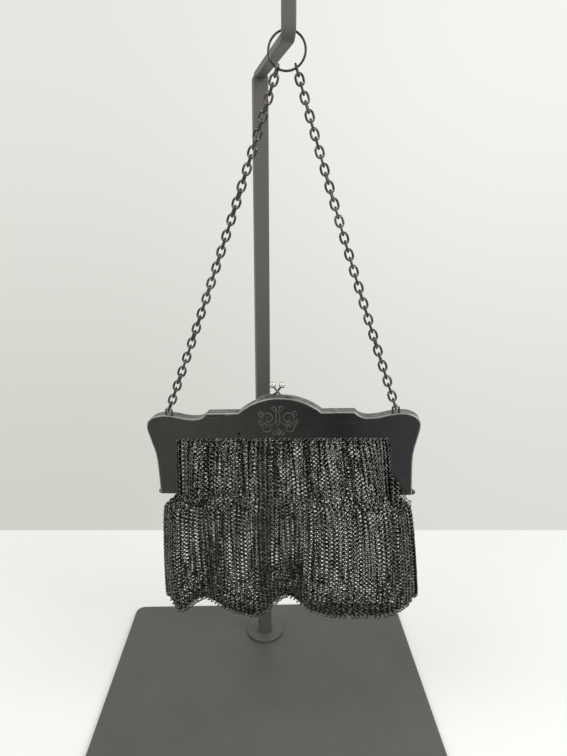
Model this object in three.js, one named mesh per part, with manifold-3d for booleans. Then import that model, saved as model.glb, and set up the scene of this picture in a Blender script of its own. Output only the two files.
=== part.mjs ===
// A metal mesh purse with a kiss lock, hanging by its finger ring from a plain display stand.
//
// Two pressed metal jaws meet along a seam and turn on a pin at the foot of each arm. A bag of
// ring mesh hangs behind their plates, two clinched loops on the front jaw hold the carrying
// chain, and the chain's two strands meet on the ring. The stand is a plate and an upright with
// an arm through the ring. Millimetres, +Z up, front towards -Y, and the origin is the middle
// of the stand's underside. The purse is worked out about the inside of its ring's top.

import * as THREE from 'three';
import { mergeVertices } from 'three/addons/utils/BufferGeometryUtils.js';
import Module from 'manifold-3d';

const wasm = await Module();
wasm.setup();

// Driving dimensions

const GAP = 0.3;                // between pieces that touch or carry each other

// The frame, in the purse's own axes: x across, z up from the flat steps beside the arch.
const JAW_DEPTH = 4.5;          // from the seam's middle to the face of a plate
const SEAM = 0.15;              // from the seam's middle to a jaw's rim
const SHEET = 0.9;              // thickness of the plates
const RIM = 1.0;                // thickness of the rim that is turned back from a plate
const ARCH_HALF_WIDTH = 24.3;
const ARCH_RISE = 8.8;
const STEP_END = 43;
const ARM_OUTER = 75.4;
const ARM_FOOT = -50.7;
const WINDOW_TOP = -16;
const WINDOW_HALF_WIDTH = 62.5;
const WINDOW_FOOT_HALF_WIDTH = 64.5;
const WINDOW_CORNER = 2;

// From the end of the step over the shoulder and down the arm: a smooth curve through these.
const SHOULDER = [
  { x: STEP_END, z: 0 },
  { x: 46, z: -2.4 },
  { x: 49.5, z: -3.4 },
  { x: 56.5, z: -3.0 },
  { x: 63.5, z: -1.5 },
  { x: 70.7, z: -1.0 },
  { x: 76.2, z: -2.4 },
  { x: 79.2, z: -5.0 },
  { x: 80, z: -9.0 },
  { x: 78.4, z: -16 },
  { x: 76.0, z: -26 },
  { x: ARM_OUTER, z: ARM_FOOT },
];

// The hinge at the foot of each arm
const HINGE_Z = -50.8;
const KNUCKLE_RADIUS = 1.6;
const PIN_RADIUS = 0.6;
const PIN_HEAD = { radius: 1.1, length: 0.4 };
const PIN_SIDES = 6;
const FRONT_KNUCKLE = { from: 74.4, to: 77.0 };
const BACK_KNUCKLE = { from: 71.5, to: 74.1 };

// The kiss lock: each jaw carries a ball on a bent stem with a riveted foot.
const BALL_RADIUS = 1.75;
const STEM_RADIUS = 0.55;
const FOOT_THICKNESS = 0.8;
const FOOT_HALF_DEPTH = 1.1;
const KNOBS = {
  clasp_knob_front: { ballX: -3.7, ballZ: 15.5, stemX: 1.2, stemY: -1.0, footFrom: 0.3, footTo: 9.3, side: -1 },
  clasp_knob_back: { ballX: 1.8, ballZ: 15.4, stemX: -5.9, stemY: 1.0, footFrom: -14.2, footTo: -5.0, side: 1 },
};
const KNOB_Y = 2.1;             // middle of a foot, from the seam
const RIVET_RADIUS = 0.6;
const RIVET_HEAD = { radius: 1.2, length: 0.5 };

// The loops that hold the chain, clinched through the front jaw's rim
const LOOP_X = 66.2;
const LOOP_Y = -2.3;
const LOOP_TOP = 3.0;           // height of the wire's middle at the top of the loop
const LOOP_RADIUS = 1.75;
const LOOP_WIRE = 0.6;

// The chain: oval links of round wire, each turned a quarter against the next
const LINK_HALF_WIDTH = 1.95;   // to the middle of the wire
const LINK_STRETCH = 1.07;      // half of what the oval is longer than a circle
const LINK_WIRE = 0.72;
const LINK_SIDES = 10;
const WIRE_SIDES = 5;
const STRANDS = {
  chain_left: { side: -1, links: 43 },
  chain_right: { side: 1, links: 41 },
};
const CHAIN_SAG = 1.0;          // how far a strand hangs inside its straight line
const CHAIN_PLAY = 0.45;        // between an end link's wire and the wire it hangs on

// The finger ring
const RING_RADIUS = 9.5;        // to the middle of its wire
const RING_WIRE = 0.6;
const RING_BEARING = 31;        // degrees from the ring's lowest point to each strand

// How the purse hangs: turned a little about the view's axis, its ring over its weight.
const HANG_TILT = 2.5;          // degrees, right side up
const RING_CENTRE = { x: 11.9, z: 189.3 };   // in the purse's own axes

// The mesh bag. Each row is one level round it.
const WALL = 1.15;              // at the mouth, between the jaws
const WALL_BELOW = 1.6;         // where it hangs free
const BAG_LEVELS = [
  { z: -12.5, halfWidth: 63.0, edgeDepth: 3.3, bulge: 0.0, tuck: 60, sway: 0.0, pleat: 0.0, wall: WALL },
  { z: -16.3, halfWidth: 63.4, edgeDepth: 3.3, bulge: 0.0, tuck: 60, sway: 0.0, pleat: 0.0, wall: WALL },
  { z: -26, halfWidth: 64.4, edgeDepth: 3.3, bulge: 4.6, tuck: 60, sway: 0.0, pleat: 3.4, wall: WALL_BELOW },
  { z: -52, halfWidth: 66.0, edgeDepth: 3.3, bulge: 6.6, tuck: 61, sway: 0.0, pleat: 3.8, wall: WALL_BELOW },
  { z: -62, halfWidth: 74.8, edgeDepth: 3.2, bulge: 7.0, tuck: 74, sway: 0.2, pleat: 3.2, wall: WALL_BELOW },
  { z: -86, halfWidth: 77.4, edgeDepth: 3.2, bulge: 6.4, tuck: 76, sway: 0.5, pleat: 2.2, wall: WALL_BELOW },
  { z: -112, halfWidth: 79.0, edgeDepth: 3.0, bulge: 4.4, tuck: 78, sway: 0.8, pleat: 1.2, wall: WALL_BELOW },
  { z: -133, halfWidth: 79.6, edgeDepth: 2.6, bulge: 0.8, tuck: 79, sway: 1.0, pleat: 0.2, wall: WALL_BELOW },
];
const TUCK_SOFTNESS = 9;        // over which the bulge rises from the side edge

// Waves of the hem: at is the place across the bag at its widest, back is how far the wave
// carries both walls to the back at the hem, rise is how far it lifts the hem.
const HEM_WAVES = [
  { at: -80, back: 1, rise: 7 },
  { at: -71, back: -3, rise: 0 },
  { at: -57, back: 7, rise: 2.5 },
  { at: -38, back: -2, rise: 1 },
  { at: -21, back: -6, rise: 0 },
  { at: -1, back: 9, rise: 4.5 },
  { at: 15, back: -1, rise: 1 },
  { at: 34, back: -5, rise: 0.4 },
  { at: 58, back: -4, rise: 0.6 },
  { at: 72, back: 0, rise: 3.5 },
  { at: 80, back: 4, rise: 9 },
];
// Pleats below the plates: places of the hollows across the mouth, front and back.
const PLEATS_FRONT = [-47, -25.7, -5, 15.6, 39];
const PLEATS_BACK = [-42, -20, 3, 24, 46];
const PLEAT_HALF_WIDTH = 4;

// The stand: a steel plate, and a square upright. Its arm slopes forward through the ring and
// turns up right in front of it, so the ring rests in the crook.
const PLATE = { side: 232, thickness: 3, corner: 7, turn: 7.7 };   // turn in degrees, from above
const HANG = { x: 15.6, y: -17.0, z: 425.8 };   // the inside of the ring's top
const UPRIGHT_SPOT = { x: -1.6, y: 79.9 };   // on the plate, in the plate's own axes
const UPRIGHT_WIDTH = 10;
const UPRIGHT_FOOT = { radius: 14.5, thickness: 2 };
const UPRIGHT_STUD = 3;         // radius of the stud that goes into the plate
const STAND_ARM = { width: 7, height: 4.5, drop: 1.3, slope: 5 };   // drop: from the ring to its top
const STAND_TIP = { ahead: 2.2, thickness: 5, bend: 7, above: 14 };   // ahead and above of the ring

const MATERIALS = {
  jaw: { color: 0x34363a, roughness: 0.42, metalness: 0.9 },
  pin: { color: 0x55565a, roughness: 0.4, metalness: 0.9 },
  knob: { color: 0xc9c9cc, roughness: 0.18, metalness: 1.0 },
  chain: { color: 0x4a4544, roughness: 0.38, metalness: 0.95 },
  ring: { color: 0x3a3a3c, roughness: 0.4, metalness: 0.95 },
  mesh: { color: 0x57534f, roughness: 0.45, metalness: 0.9 },
  stand: { color: 0x4c4b48, roughness: 0.5, metalness: 0.3 },
};

// Solids

/** A closed geometry as a solid, turned right side out. */
function solid(geometry) {
  const bare = geometry.clone();
  bare.deleteAttribute('normal');
  bare.deleteAttribute('uv');
  const merged = mergeVertices(bare, 1e-4);
  const points = merged.getAttribute('position').array;
  const triangles = Uint32Array.from(merged.index.array);
  if (signedVolume(points, triangles) < 0) {
    for (let i = 0; i < triangles.length; i += 3) {
      [triangles[i + 1], triangles[i + 2]] = [triangles[i + 2], triangles[i + 1]];
    }
  }
  const mesh = new wasm.Mesh({
    numProp: 3,
    vertProperties: new Float32Array(points),
    triVerts: triangles,
  });
  return new wasm.Manifold(mesh);
}

/** Six times the volume inside a closed mesh, below zero where it is inside out. */
function signedVolume(points, triangles) {
  const [a, b, c] = [new THREE.Vector3(), new THREE.Vector3(), new THREE.Vector3()];
  let volume = 0;
  for (let i = 0; i < triangles.length; i += 3) {
    a.fromArray(points, 3 * triangles[i]);
    b.fromArray(points, 3 * triangles[i + 1]);
    c.fromArray(points, 3 * triangles[i + 2]);
    volume += a.dot(b.cross(c));
  }
  return volume;
}

/** The union of several solids. */
function join(solids) {
  return solids.reduce((whole, next) => whole.add(next));
}

/** A named mesh of a solid. */
function meshOf(name, body, finish) {
  const raw = body.getMesh();
  const geometry = new THREE.BufferGeometry();
  const stride = raw.numProp;
  const count = raw.vertProperties.length / stride;
  const points = new Float32Array(3 * count);
  for (let i = 0; i < count; i += 1) {
    points.set(raw.vertProperties.subarray(stride * i, stride * i + 3), 3 * i);
  }
  geometry.setAttribute('position', new THREE.BufferAttribute(points, 3));
  geometry.setIndex(new THREE.BufferAttribute(Uint32Array.from(raw.triVerts), 1));
  geometry.computeVertexNormals();
  const mesh = new THREE.Mesh(geometry, new THREE.MeshStandardMaterial(MATERIALS[finish]));
  mesh.name = name;
  return mesh;
}

/** An outline in x and z, extruded from y = from to y = to. */
function slab(outline, from, to) {
  const shape = new THREE.Shape(outline.map((p) => new THREE.Vector2(p.x, p.z)));
  const geometry = new THREE.ExtrudeGeometry(shape, { depth: to - from, bevelEnabled: false });
  geometry.rotateX(Math.PI / 2);
  geometry.translate(0, to, 0);
  return solid(geometry);
}

/** A round bar along X between two places. */
function barX(radius, from, to, y, z, sides = 10) {
  const geometry = new THREE.CylinderGeometry(radius, radius, to - from, sides);
  geometry.rotateZ(Math.PI / 2);
  geometry.translate((from + to) / 2, y, z);
  return solid(geometry);
}

/** A round post along Z between two heights. */
function post(radius, x, y, from, to, sides = 6) {
  const geometry = new THREE.CylinderGeometry(radius, radius, to - from, sides);
  geometry.rotateX(Math.PI / 2);
  geometry.translate(x, y, (from + to) / 2);
  return solid(geometry);
}

/** A block between two corners. */
function block(low, high) {
  const geometry = new THREE.BoxGeometry(high.x - low.x, high.y - low.y, high.z - low.z);
  geometry.translate((low.x + high.x) / 2, (low.y + high.y) / 2, (low.z + high.z) / 2);
  return solid(geometry);
}

/** A wire of round section along a curve. */
function wire(curve, radius, steps, sides) {
  const section = new THREE.Shape();
  for (let i = 0; i < sides; i += 1) {
    const turn = (2 * Math.PI * i) / sides;
    const [x, y] = [radius * Math.cos(turn), radius * Math.sin(turn)];
    if (i === 0) section.moveTo(x, y);
    else section.lineTo(x, y);
  }
  section.closePath();
  const options = { steps, extrudePath: curve, bevelEnabled: false };
  return solid(new THREE.ExtrudeGeometry(section, options));
}

/** A ring about the Y axis whose wire turns an edge, not a flat, to the ring's middle. */
function hoop(radius, wireRadius, sides, wireSides) {
  const profile = [];
  for (let i = 0; i <= wireSides; i += 1) {
    const turn = Math.PI + (2 * Math.PI * i) / wireSides;
    profile.push(new THREE.Vector2(radius + wireRadius * Math.cos(turn), wireRadius * Math.sin(turn)));
  }
  return new THREE.LatheGeometry(profile, sides);
}

// The frame's outline

/** Height of the arch's top edge at a place across it: an arc of a circle. */
function archHeight(x) {
  const radius = (ARCH_HALF_WIDTH ** 2 + ARCH_RISE ** 2) / (2 * ARCH_RISE);
  return ARCH_RISE - radius + Math.sqrt(radius ** 2 - x ** 2);
}

/** Right half of the outer outline, from the top of the arch to the foot of the arm. */
function halfOutline() {
  const points = [];
  const archSteps = 4;
  for (let i = 0; i <= archSteps; i += 1) {
    const x = (ARCH_HALF_WIDTH * i) / archSteps;
    points.push({ x, z: archHeight(x) });
  }
  const shoulder = SHOULDER.map((p) => new THREE.Vector3(p.x, 0, p.z));
  const curve = new THREE.CatmullRomCurve3(shoulder, false, 'centripetal');
  const shoulderSteps = 12;
  for (const p of curve.getPoints(shoulderSteps)) points.push({ x: p.x, z: p.z });
  return points;
}

/** The whole outer outline, from the foot of the left arm over the top to the right foot. */
function outerOutline() {
  const right = halfOutline();
  const left = right.slice(1).reverse().map((p) => ({ x: -p.x, z: p.z }));
  return [...left, ...right];
}

/** A line of points moved to its right-hand side by a distance, its corners mitred. */
function inset(line, distance) {
  const normal = (a, b) => {
    const length = Math.hypot(b.x - a.x, b.z - a.z);
    return { x: (b.z - a.z) / length, z: -(b.x - a.x) / length };
  };
  return line.map((p, i) => {
    const before = normal(line[Math.max(i - 1, 0)], line[Math.max(i, 1)]);
    const last = line.length - 1;
    const after = normal(line[Math.min(i, last - 1)], line[Math.min(i + 1, last)]);
    const scale = distance / (1 + before.x * after.x + before.z * after.z);
    return { x: p.x + (before.x + after.x) * scale, z: p.z + (before.z + after.z) * scale };
  });
}

/** The outline of a plate: over the arch and shoulders, down the arms and round the window. */
function plateOutline() {
  const c = WINDOW_CORNER;
  return [
    ...outerOutline(),
    { x: WINDOW_FOOT_HALF_WIDTH, z: ARM_FOOT },
    { x: WINDOW_HALF_WIDTH, z: WINDOW_TOP - c },
    { x: WINDOW_HALF_WIDTH - c, z: WINDOW_TOP },
    { x: -WINDOW_HALF_WIDTH + c, z: WINDOW_TOP },
    { x: -WINDOW_HALF_WIDTH, z: WINDOW_TOP - c },
    { x: -WINDOW_FOOT_HALF_WIDTH, z: ARM_FOOT },
  ];
}

// The jaws

/** Plate and rim of the front jaw: a slab hollowed from the seam's side. */
function jawShell() {
  const inner = inset(outerOutline(), RIM);
  const below = ARM_FOOT - RIM;
  const hollow = [
    { x: inner[0].x, z: below },
    ...inner,
    { x: inner[inner.length - 1].x, z: below },
  ];
  const shell = slab(plateOutline(), -JAW_DEPTH, -SEAM);
  return shell.subtract(slab(hollow, -JAW_DEPTH + SHEET, JAW_DEPTH));
}

/** A knuckle of the hinge with its bore, on the side that sign gives. */
function knuckle(place, sign) {
  const [from, to] = sign > 0 ? [place.from, place.to] : [-place.to, -place.from];
  return barX(KNUCKLE_RADIUS, from, to, 0, HINGE_Z);
}

function hingeBore(sign) {
  const reach = FRONT_KNUCKLE.to + 1;
  const [from, to] = sign > 0 ? [ARM_OUTER - 5, reach] : [-reach, 5 - ARM_OUTER];
  return barX(PIN_RADIUS + GAP, from, to, 0, HINGE_Z, PIN_SIDES);
}

/** Room in the back jaw's rim for the front jaw's knuckle. */
function knuckleRoom(sign) {
  const [near, far] = [FRONT_KNUCKLE.from - GAP, FRONT_KNUCKLE.to + 1];
  const [from, to] = sign > 0 ? [near, far] : [-far, -near];
  return barX(KNUCKLE_RADIUS + GAP, from, to, 0, HINGE_Z);
}

/** The ear that joins the back jaw's knuckle to its plate. */
function backEar(sign) {
  const [from, to] = sign > 0
    ? [BACK_KNUCKLE.from, BACK_KNUCKLE.to]
    : [-BACK_KNUCKLE.to, -BACK_KNUCKLE.from];
  const half = KNUCKLE_RADIUS * 0.6;
  const low = { x: from, y: KNUCKLE_RADIUS * 0.7, z: HINGE_Z - half };
  const high = { x: to, y: JAW_DEPTH - SHEET / 2, z: HINGE_Z + KNUCKLE_RADIUS };
  return block(low, high);
}

function knobHole(knob) {
  const x = (knob.footFrom + knob.footTo) / 2;
  return post(RIVET_RADIUS + GAP, x, knob.side * KNOB_Y, ARCH_RISE - 4, ARCH_RISE + 2);
}

function loopHoles() {
  const holes = [];
  for (const sign of [-1, 1]) {
    for (const leg of [-LOOP_RADIUS, LOOP_RADIUS]) {
      holes.push(post(LOOP_WIRE + GAP, sign * LOOP_X + leg, LOOP_Y, -4, 1));
    }
  }
  return holes;
}

function frontJaw() {
  const body = join([jawShell(), knuckle(FRONT_KNUCKLE, -1), knuckle(FRONT_KNUCKLE, 1)]);
  const holes = [hingeBore(-1), hingeBore(1), knobHole(KNOBS.clasp_knob_front), ...loopHoles()];
  return body.subtract(join(holes));
}

function backJaw() {
  const shell = jawShell().rotate([0, 0, 180]).subtract(join([knuckleRoom(-1), knuckleRoom(1)]));
  const ears = [-1, 1].flatMap((sign) => [knuckle(BACK_KNUCKLE, sign), backEar(sign)]);
  const holes = [hingeBore(-1), hingeBore(1), knobHole(KNOBS.clasp_knob_back)];
  return join([shell, ...ears]).subtract(join(holes));
}

function hingePin(sign) {
  const inner = BACK_KNUCKLE.from - GAP;
  const outer = FRONT_KNUCKLE.to + GAP;
  const bar = (radius, from, to) => (sign > 0
    ? barX(radius, from, to, 0, HINGE_Z, PIN_SIDES)
    : barX(radius, -to, -from, 0, HINGE_Z, PIN_SIDES));
  return join([
    bar(PIN_RADIUS, inner, outer),
    bar(PIN_HEAD.radius, inner - PIN_HEAD.length, inner),
    bar(PIN_HEAD.radius, outer, outer + PIN_HEAD.length),
  ]);
}

// The kiss lock

/** A foot that lies along the arch, a stem bent over from its end and a ball on top. */
function claspKnob(knob) {
  const y = knob.side * KNOB_Y;
  const steps = 2;
  const lower = [];
  const upper = [];
  for (let i = 0; i <= steps; i += 1) {
    const x = knob.footFrom + ((knob.footTo - knob.footFrom) * i) / steps;
    const edge = archHeight(x) + GAP;
    lower.push({ x, z: edge });
    upper.unshift({ x, z: edge + (i % steps === 0 ? 0.5 : 1) * FOOT_THICKNESS });
  }
  const foot = slab([...lower, ...upper], y - FOOT_HALF_DEPTH, y + FOOT_HALF_DEPTH);
  const base = archHeight(knob.stemX) + GAP + FOOT_THICKNESS / 2;
  const stem = wire(new THREE.CatmullRomCurve3([
    new THREE.Vector3(knob.stemX, y, base),
    new THREE.Vector3(knob.stemX * 0.7 + knob.ballX * 0.3, knob.stemY, base + 1.3),
    new THREE.Vector3(knob.ballX, knob.stemY * 0.3, knob.ballZ),
  ]), STEM_RADIUS, 3, 5);
  const ball = new THREE.SphereGeometry(BALL_RADIUS, 8, 6);
  ball.rotateX(Math.PI / 2);
  ball.translate(knob.ballX, 0, knob.ballZ);
  const middle = (knob.footFrom + knob.footTo) / 2;
  const under = archHeight(Math.abs(middle) + RIVET_HEAD.radius) - RIM - 2 * GAP;
  const rivet = post(RIVET_RADIUS, middle, y, under - RIVET_HEAD.length / 2, archHeight(middle) + GAP * 2);
  const head = post(RIVET_HEAD.radius, middle, y, under - RIVET_HEAD.length, under);
  return join([foot, stem, solid(ball), rivet, head]);
}

// The loops, the chain and the ring

/** A loop of wire whose two legs pass through the rim and end in clinched heads below it. */
function chainLoop(sign) {
  const x = sign * LOOP_X;
  const springing = LOOP_TOP - LOOP_RADIUS;
  const under = -1.6 - RIM - GAP;
  const points = [new THREE.Vector3(x - LOOP_RADIUS, LOOP_Y, under)];
  const arcSteps = 4;
  for (let i = 0; i <= arcSteps; i += 1) {
    const turn = Math.PI - (Math.PI * i) / arcSteps;
    const along = new THREE.Vector3(Math.cos(turn), 0, Math.sin(turn)).multiplyScalar(LOOP_RADIUS);
    points.push(along.add(new THREE.Vector3(x, LOOP_Y, springing)));
  }
  points.push(new THREE.Vector3(x + LOOP_RADIUS, LOOP_Y, under));
  const heads = [-LOOP_RADIUS, LOOP_RADIUS].map((leg) => (
    post(RIVET_HEAD.radius, x + leg, LOOP_Y, under - RIVET_HEAD.length, under)));
  return join([bentWire(points, LOOP_WIRE, 5), ...heads]);
}

/** A wire through the given points in a plane of constant y, mitred at each. */
function bentWire(points, radius, sides) {
  const positions = [];
  const index = [];
  points.forEach((p, i) => {
    const before = points[Math.max(i - 1, 0)].clone().sub(points[Math.max(i, 1)]).negate().normalize();
    const last = points.length - 1;
    const after = points[Math.min(i + 1, last)].clone().sub(points[Math.min(i, last - 1)]).normalize();
    const along = before.clone().add(after).normalize();
    const across = new THREE.Vector3(0, 1, 0).cross(along);
    const stretch = radius / along.dot(after);
    for (let j = 0; j < sides; j += 1) {
      const turn = (2 * Math.PI * j) / sides;
      const at = p.clone()
        .addScaledVector(across, stretch * Math.cos(turn))
        .add(new THREE.Vector3(0, radius * Math.sin(turn), 0));
      positions.push(at.x, at.y, at.z);
      if (i > 0) {
        const [a, b] = [sides * i + j, sides * i + ((j + 1) % sides)];
        index.push(a - sides, a, b, a - sides, b, b - sides);
      }
    }
  });
  for (let j = 1; j < sides - 1; j += 1) {
    const end = sides * (points.length - 1);
    index.push(0, j, j + 1, end, end + j + 1, end + j);
  }
  const geometry = new THREE.BufferGeometry();
  geometry.setAttribute('position', new THREE.Float32BufferAttribute(positions, 3));
  geometry.setIndex(index);
  return solid(geometry);
}

/** An oval link in the plane of x and z, its length along z, with a straight piece at each end. */
function linkGeometry() {
  const geometry = hoop(LINK_HALF_WIDTH, LINK_WIRE, LINK_SIDES, WIRE_SIDES);
  geometry.rotateY(Math.PI / LINK_SIDES);
  const place = geometry.getAttribute('position');
  for (let i = 0; i < place.count; i += 1) {
    const z = place.getZ(i);
    if (Math.abs(z) > LINK_WIRE / 2) place.setZ(i, z + Math.sign(z) * LINK_STRETCH);
  }
  return geometry;
}

/** Place of a point of the tilted purse in the hanging object's axes. */
function hung(x, y, z) {
  const point = new THREE.Vector3(x - RING_CENTRE.x, y, z - RING_CENTRE.z);
  point.applyAxisAngle(new THREE.Vector3(0, 1, 0), -THREE.MathUtils.degToRad(HANG_TILT));
  return point.add(ringCentre());
}

function ringCentre() {
  return new THREE.Vector3(0, 0, RING_WIRE - RING_RADIUS);
}

/** One strand: links at even steps along a slightly sagging line from ring to loop. */
function strand({ side, links }) {
  const bearing = THREE.MathUtils.degToRad(RING_BEARING);
  const top = ringCentre().add(
    new THREE.Vector3(side * Math.sin(bearing), 0, -Math.cos(bearing)).multiplyScalar(RING_RADIUS));
  const bottom = hung(side * LOOP_X, LOOP_Y, LOOP_TOP - LOOP_RADIUS);
  const along = bottom.clone().sub(top).normalize();
  bottom.addScaledVector(along, -LOOP_RADIUS);
  const end = LINK_HALF_WIDTH * Math.cos(Math.PI / LINK_SIDES) + LINK_STRETCH;
  const reach = end - LINK_WIRE - CHAIN_PLAY;
  top.addScaledVector(along, reach - RING_WIRE);
  bottom.addScaledVector(along, LOOP_WIRE - reach);
  const inward = new THREE.Vector3(-side, 0, 0).projectOnPlane(along).normalize();
  const place = (t) => top.clone().lerp(bottom, t).addScaledVector(inward, 4 * CHAIN_SAG * t * (1 - t));
  const bodies = [];
  for (let i = 0; i < links; i += 1) {
    const t = i / (links - 1);
    const way = place(Math.min(t + 0.01, 1)).sub(place(Math.max(t - 0.01, 0))).normalize();
    const depth = new THREE.Vector3(0, 1, 0).projectOnPlane(way).normalize();
    const across = depth.clone().cross(way);
    const turned = i % 2 === 0;
    const basis = new THREE.Matrix4();
    if (turned) basis.makeBasis(depth, across.clone().negate(), way);
    else basis.makeBasis(across, depth, way);
    const link = linkGeometry();
    link.applyMatrix4(basis);
    link.translate(...place(t).toArray());
    bodies.push(solid(link));
  }
  return join(bodies);
}

function fingerRing() {
  const geometry = hoop(RING_RADIUS, RING_WIRE, 20, 5);
  geometry.translate(...ringCentre().toArray());
  return solid(geometry);
}

// The mesh bag

/** A value between the rows of a table, eased from row to row. */
function between(rows, key, at, column) {
  const last = rows.length - 1;
  const i = Math.min(Math.max(rows.findIndex((row) => row[key] > at) - 1, 0), last - 1);
  const row = at >= rows[last][key] ? last - 1 : i;
  const t = THREE.MathUtils.clamp((at - rows[row][key]) / (rows[row + 1][key] - rows[row][key]), 0, 1);
  return THREE.MathUtils.lerp(rows[row][column], rows[row + 1][column], t * t * (3 - 2 * t));
}

/** How deep the pleats are at a place across a wall: 1 at a hollow, 0 between. */
function pleatAt(pleats, x) {
  return pleats.reduce((sum, p) => sum + Math.exp(-(((x - p) / PLEAT_HALF_WIDTH) ** 2)), 0);
}

/** Places across the bag where its wall is drawn: the side edges, each hollow and each crest. */
function stations(pleats) {
  const places = [-1, -0.93, 0.93, 1];
  const half = BAG_LEVELS[3].halfWidth;
  pleats.forEach((p, i) => {
    places.push(p / half);
    if (i > 0) places.push((p + pleats[i - 1]) / 2 / half);
  });
  places.push((pleats[0] / half - 0.93) / 2, (pleats[pleats.length - 1] / half + 0.93) / 2);
  return places.sort((a, b) => a - b);
}

/** A point of the bag: u from -1 to 1 across, a level, a wall and how far inside it. */
function bagPoint(u, level, wall, inside) {
  const widest = Math.max(...BAG_LEVELS.map((row) => row.halfWidth));
  const x = u * (level.halfWidth - inside);
  const rise = THREE.MathUtils.smoothstep(level.tuck - Math.abs(x), 0, TUCK_SOFTNESS);
  const pleats = wall < 0 ? PLEATS_FRONT : PLEATS_BACK;
  const mouth = BAG_LEVELS[3].halfWidth;
  const depth = level.edgeDepth - inside + rise * level.bulge - level.pleat * rise * pleatAt(pleats, u * mouth);
  const back = level.sway * between(HEM_WAVES, 'at', u * widest, 'back');
  const lift = level.sway ** 4 * between(HEM_WAVES, 'at', u * widest, 'rise');
  const bottom = level.sway === 1 ? inside : 0;
  return [x, back + wall * depth, level.z + lift + bottom];
}

/** One side of the bag's wall as rings of points: along the front and back along the rear. */
function bagRings(isInside) {
  const front = stations(PLEATS_FRONT);
  const rear = stations(PLEATS_BACK).reverse();
  return BAG_LEVELS.map((level) => {
    const inside = isInside ? level.wall : 0;
    return [
      ...front.map((u) => bagPoint(u, level, -1, inside)),
      ...rear.map((u) => bagPoint(u, level, 1, inside)),
    ];
  });
}

/** The bag: an outer and an inner skin, joined round the mouth and each closed at the hem. */
function meshBag() {
  const skins = [bagRings(false), bagRings(true)];
  const around = skins[0][0].length;
  const positions = [];
  const index = [];
  const at = (skin, row, i) => (skin * BAG_LEVELS.length + row) * around + (i % around);
  const quad = (a, b, c, d) => index.push(a, b, c, a, c, d);
  skins.forEach((rings) => rings.forEach((ring) => ring.forEach((p) => positions.push(...p))));
  const last = BAG_LEVELS.length - 1;
  for (let i = 0; i < around; i += 1) {
    for (let row = 0; row < last; row += 1) {
      quad(at(0, row, i), at(0, row + 1, i), at(0, row + 1, i + 1), at(0, row, i + 1));
      quad(at(1, row, i), at(1, row, i + 1), at(1, row + 1, i + 1), at(1, row + 1, i));
    }
    quad(at(0, 0, i), at(0, 0, i + 1), at(1, 0, i + 1), at(1, 0, i));
  }
  for (let i = 0; i < around / 2 - 1; i += 1) {
    const far = around - 1 - i;
    quad(at(0, last, i), at(0, last, far), at(0, last, far - 1), at(0, last, i + 1));
    quad(at(1, last, i), at(1, last, i + 1), at(1, last, far - 1), at(1, last, far));
  }
  const geometry = new THREE.BufferGeometry();
  geometry.setAttribute('position', new THREE.Float32BufferAttribute(positions, 3));
  geometry.setIndex(index);
  return solid(geometry);
}

// The stand

/** The plate, with round corners and a hole for the upright's stud. */
function standPlate() {
  const half = PLATE.side / 2;
  const inner = half - PLATE.corner;
  const parts = [
    block({ x: -half, y: -inner, z: 0 }, { x: half, y: inner, z: PLATE.thickness }),
    block({ x: -inner, y: -half, z: 0 }, { x: inner, y: half, z: PLATE.thickness }),
  ];
  for (const x of [-inner, inner]) {
    for (const y of [-inner, inner]) parts.push(post(PLATE.corner, x, y, 0, PLATE.thickness, 16));
  }
  const hole = post(UPRIGHT_STUD + GAP, UPRIGHT_SPOT.x, UPRIGHT_SPOT.y, -1, PLATE.thickness + 1, 12);
  return join(parts).subtract(hole).rotate([0, 0, PLATE.turn]);
}

/** The arm and its upturned tip from the side: x forward from the upright's middle, and z. */
function armOutline(reach) {
  const slope = THREE.MathUtils.degToRad(STAND_ARM.slope);
  const top = (x) => HANG.z - STAND_ARM.drop + (reach - x) * Math.tan(slope);
  const under = (x) => top(x) - STAND_ARM.height / Math.cos(slope);
  const back = -UPRIGHT_WIDTH / 2;
  const crook = reach + STAND_TIP.ahead;
  const face = crook + STAND_TIP.thickness;
  const outline = [
    { x: back, z: under(back) },
    { x: back, z: top(back) },
    { x: crook, z: top(crook) },
    { x: crook, z: HANG.z + STAND_TIP.above },
    { x: face, z: HANG.z + STAND_TIP.above },
  ];
  const middle = { x: face - STAND_TIP.bend, z: under(face - STAND_TIP.bend) + STAND_TIP.bend / Math.cos(slope) };
  const steps = 5;
  for (let i = 0; i <= steps; i += 1) {
    const turn = -((Math.PI / 2 + slope) * i) / steps;
    outline.push({ x: middle.x + STAND_TIP.bend * Math.cos(turn), z: middle.z + STAND_TIP.bend * Math.sin(turn) });
  }
  return outline;
}

/** Foot, upright, arm and upturned tip, welded: worked out with the arm along -Y, then turned. */
function standUpright() {
  const foot = new THREE.Vector2(UPRIGHT_SPOT.x, UPRIGHT_SPOT.y)
    .rotateAround(new THREE.Vector2(), THREE.MathUtils.degToRad(PLATE.turn));
  const reach = Math.hypot(HANG.x - foot.x, HANG.y - foot.y);
  const bearing = Math.atan2(HANG.x - foot.x, foot.y - HANG.y);
  const seat = PLATE.thickness + GAP;
  const half = UPRIGHT_WIDTH / 2;
  const side = armOutline(reach);
  const arm = slab(side, -STAND_ARM.width / 2, STAND_ARM.width / 2).rotate([0, 0, -90]);
  const top = side[0].z + GAP;
  return join([
    post(UPRIGHT_STUD, 0, 0, PLATE.thickness / 3, seat + 1, 12),
    post(UPRIGHT_FOOT.radius, 0, 0, seat, seat + UPRIGHT_FOOT.thickness, 20),
    block({ x: -half, y: -half, z: seat }, { x: half, y: half, z: top }),
    arm,
  ]).rotate([0, 0, THREE.MathUtils.radToDeg(bearing)]).translate([foot.x, foot.y, 0]);
}

// The assembly

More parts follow.
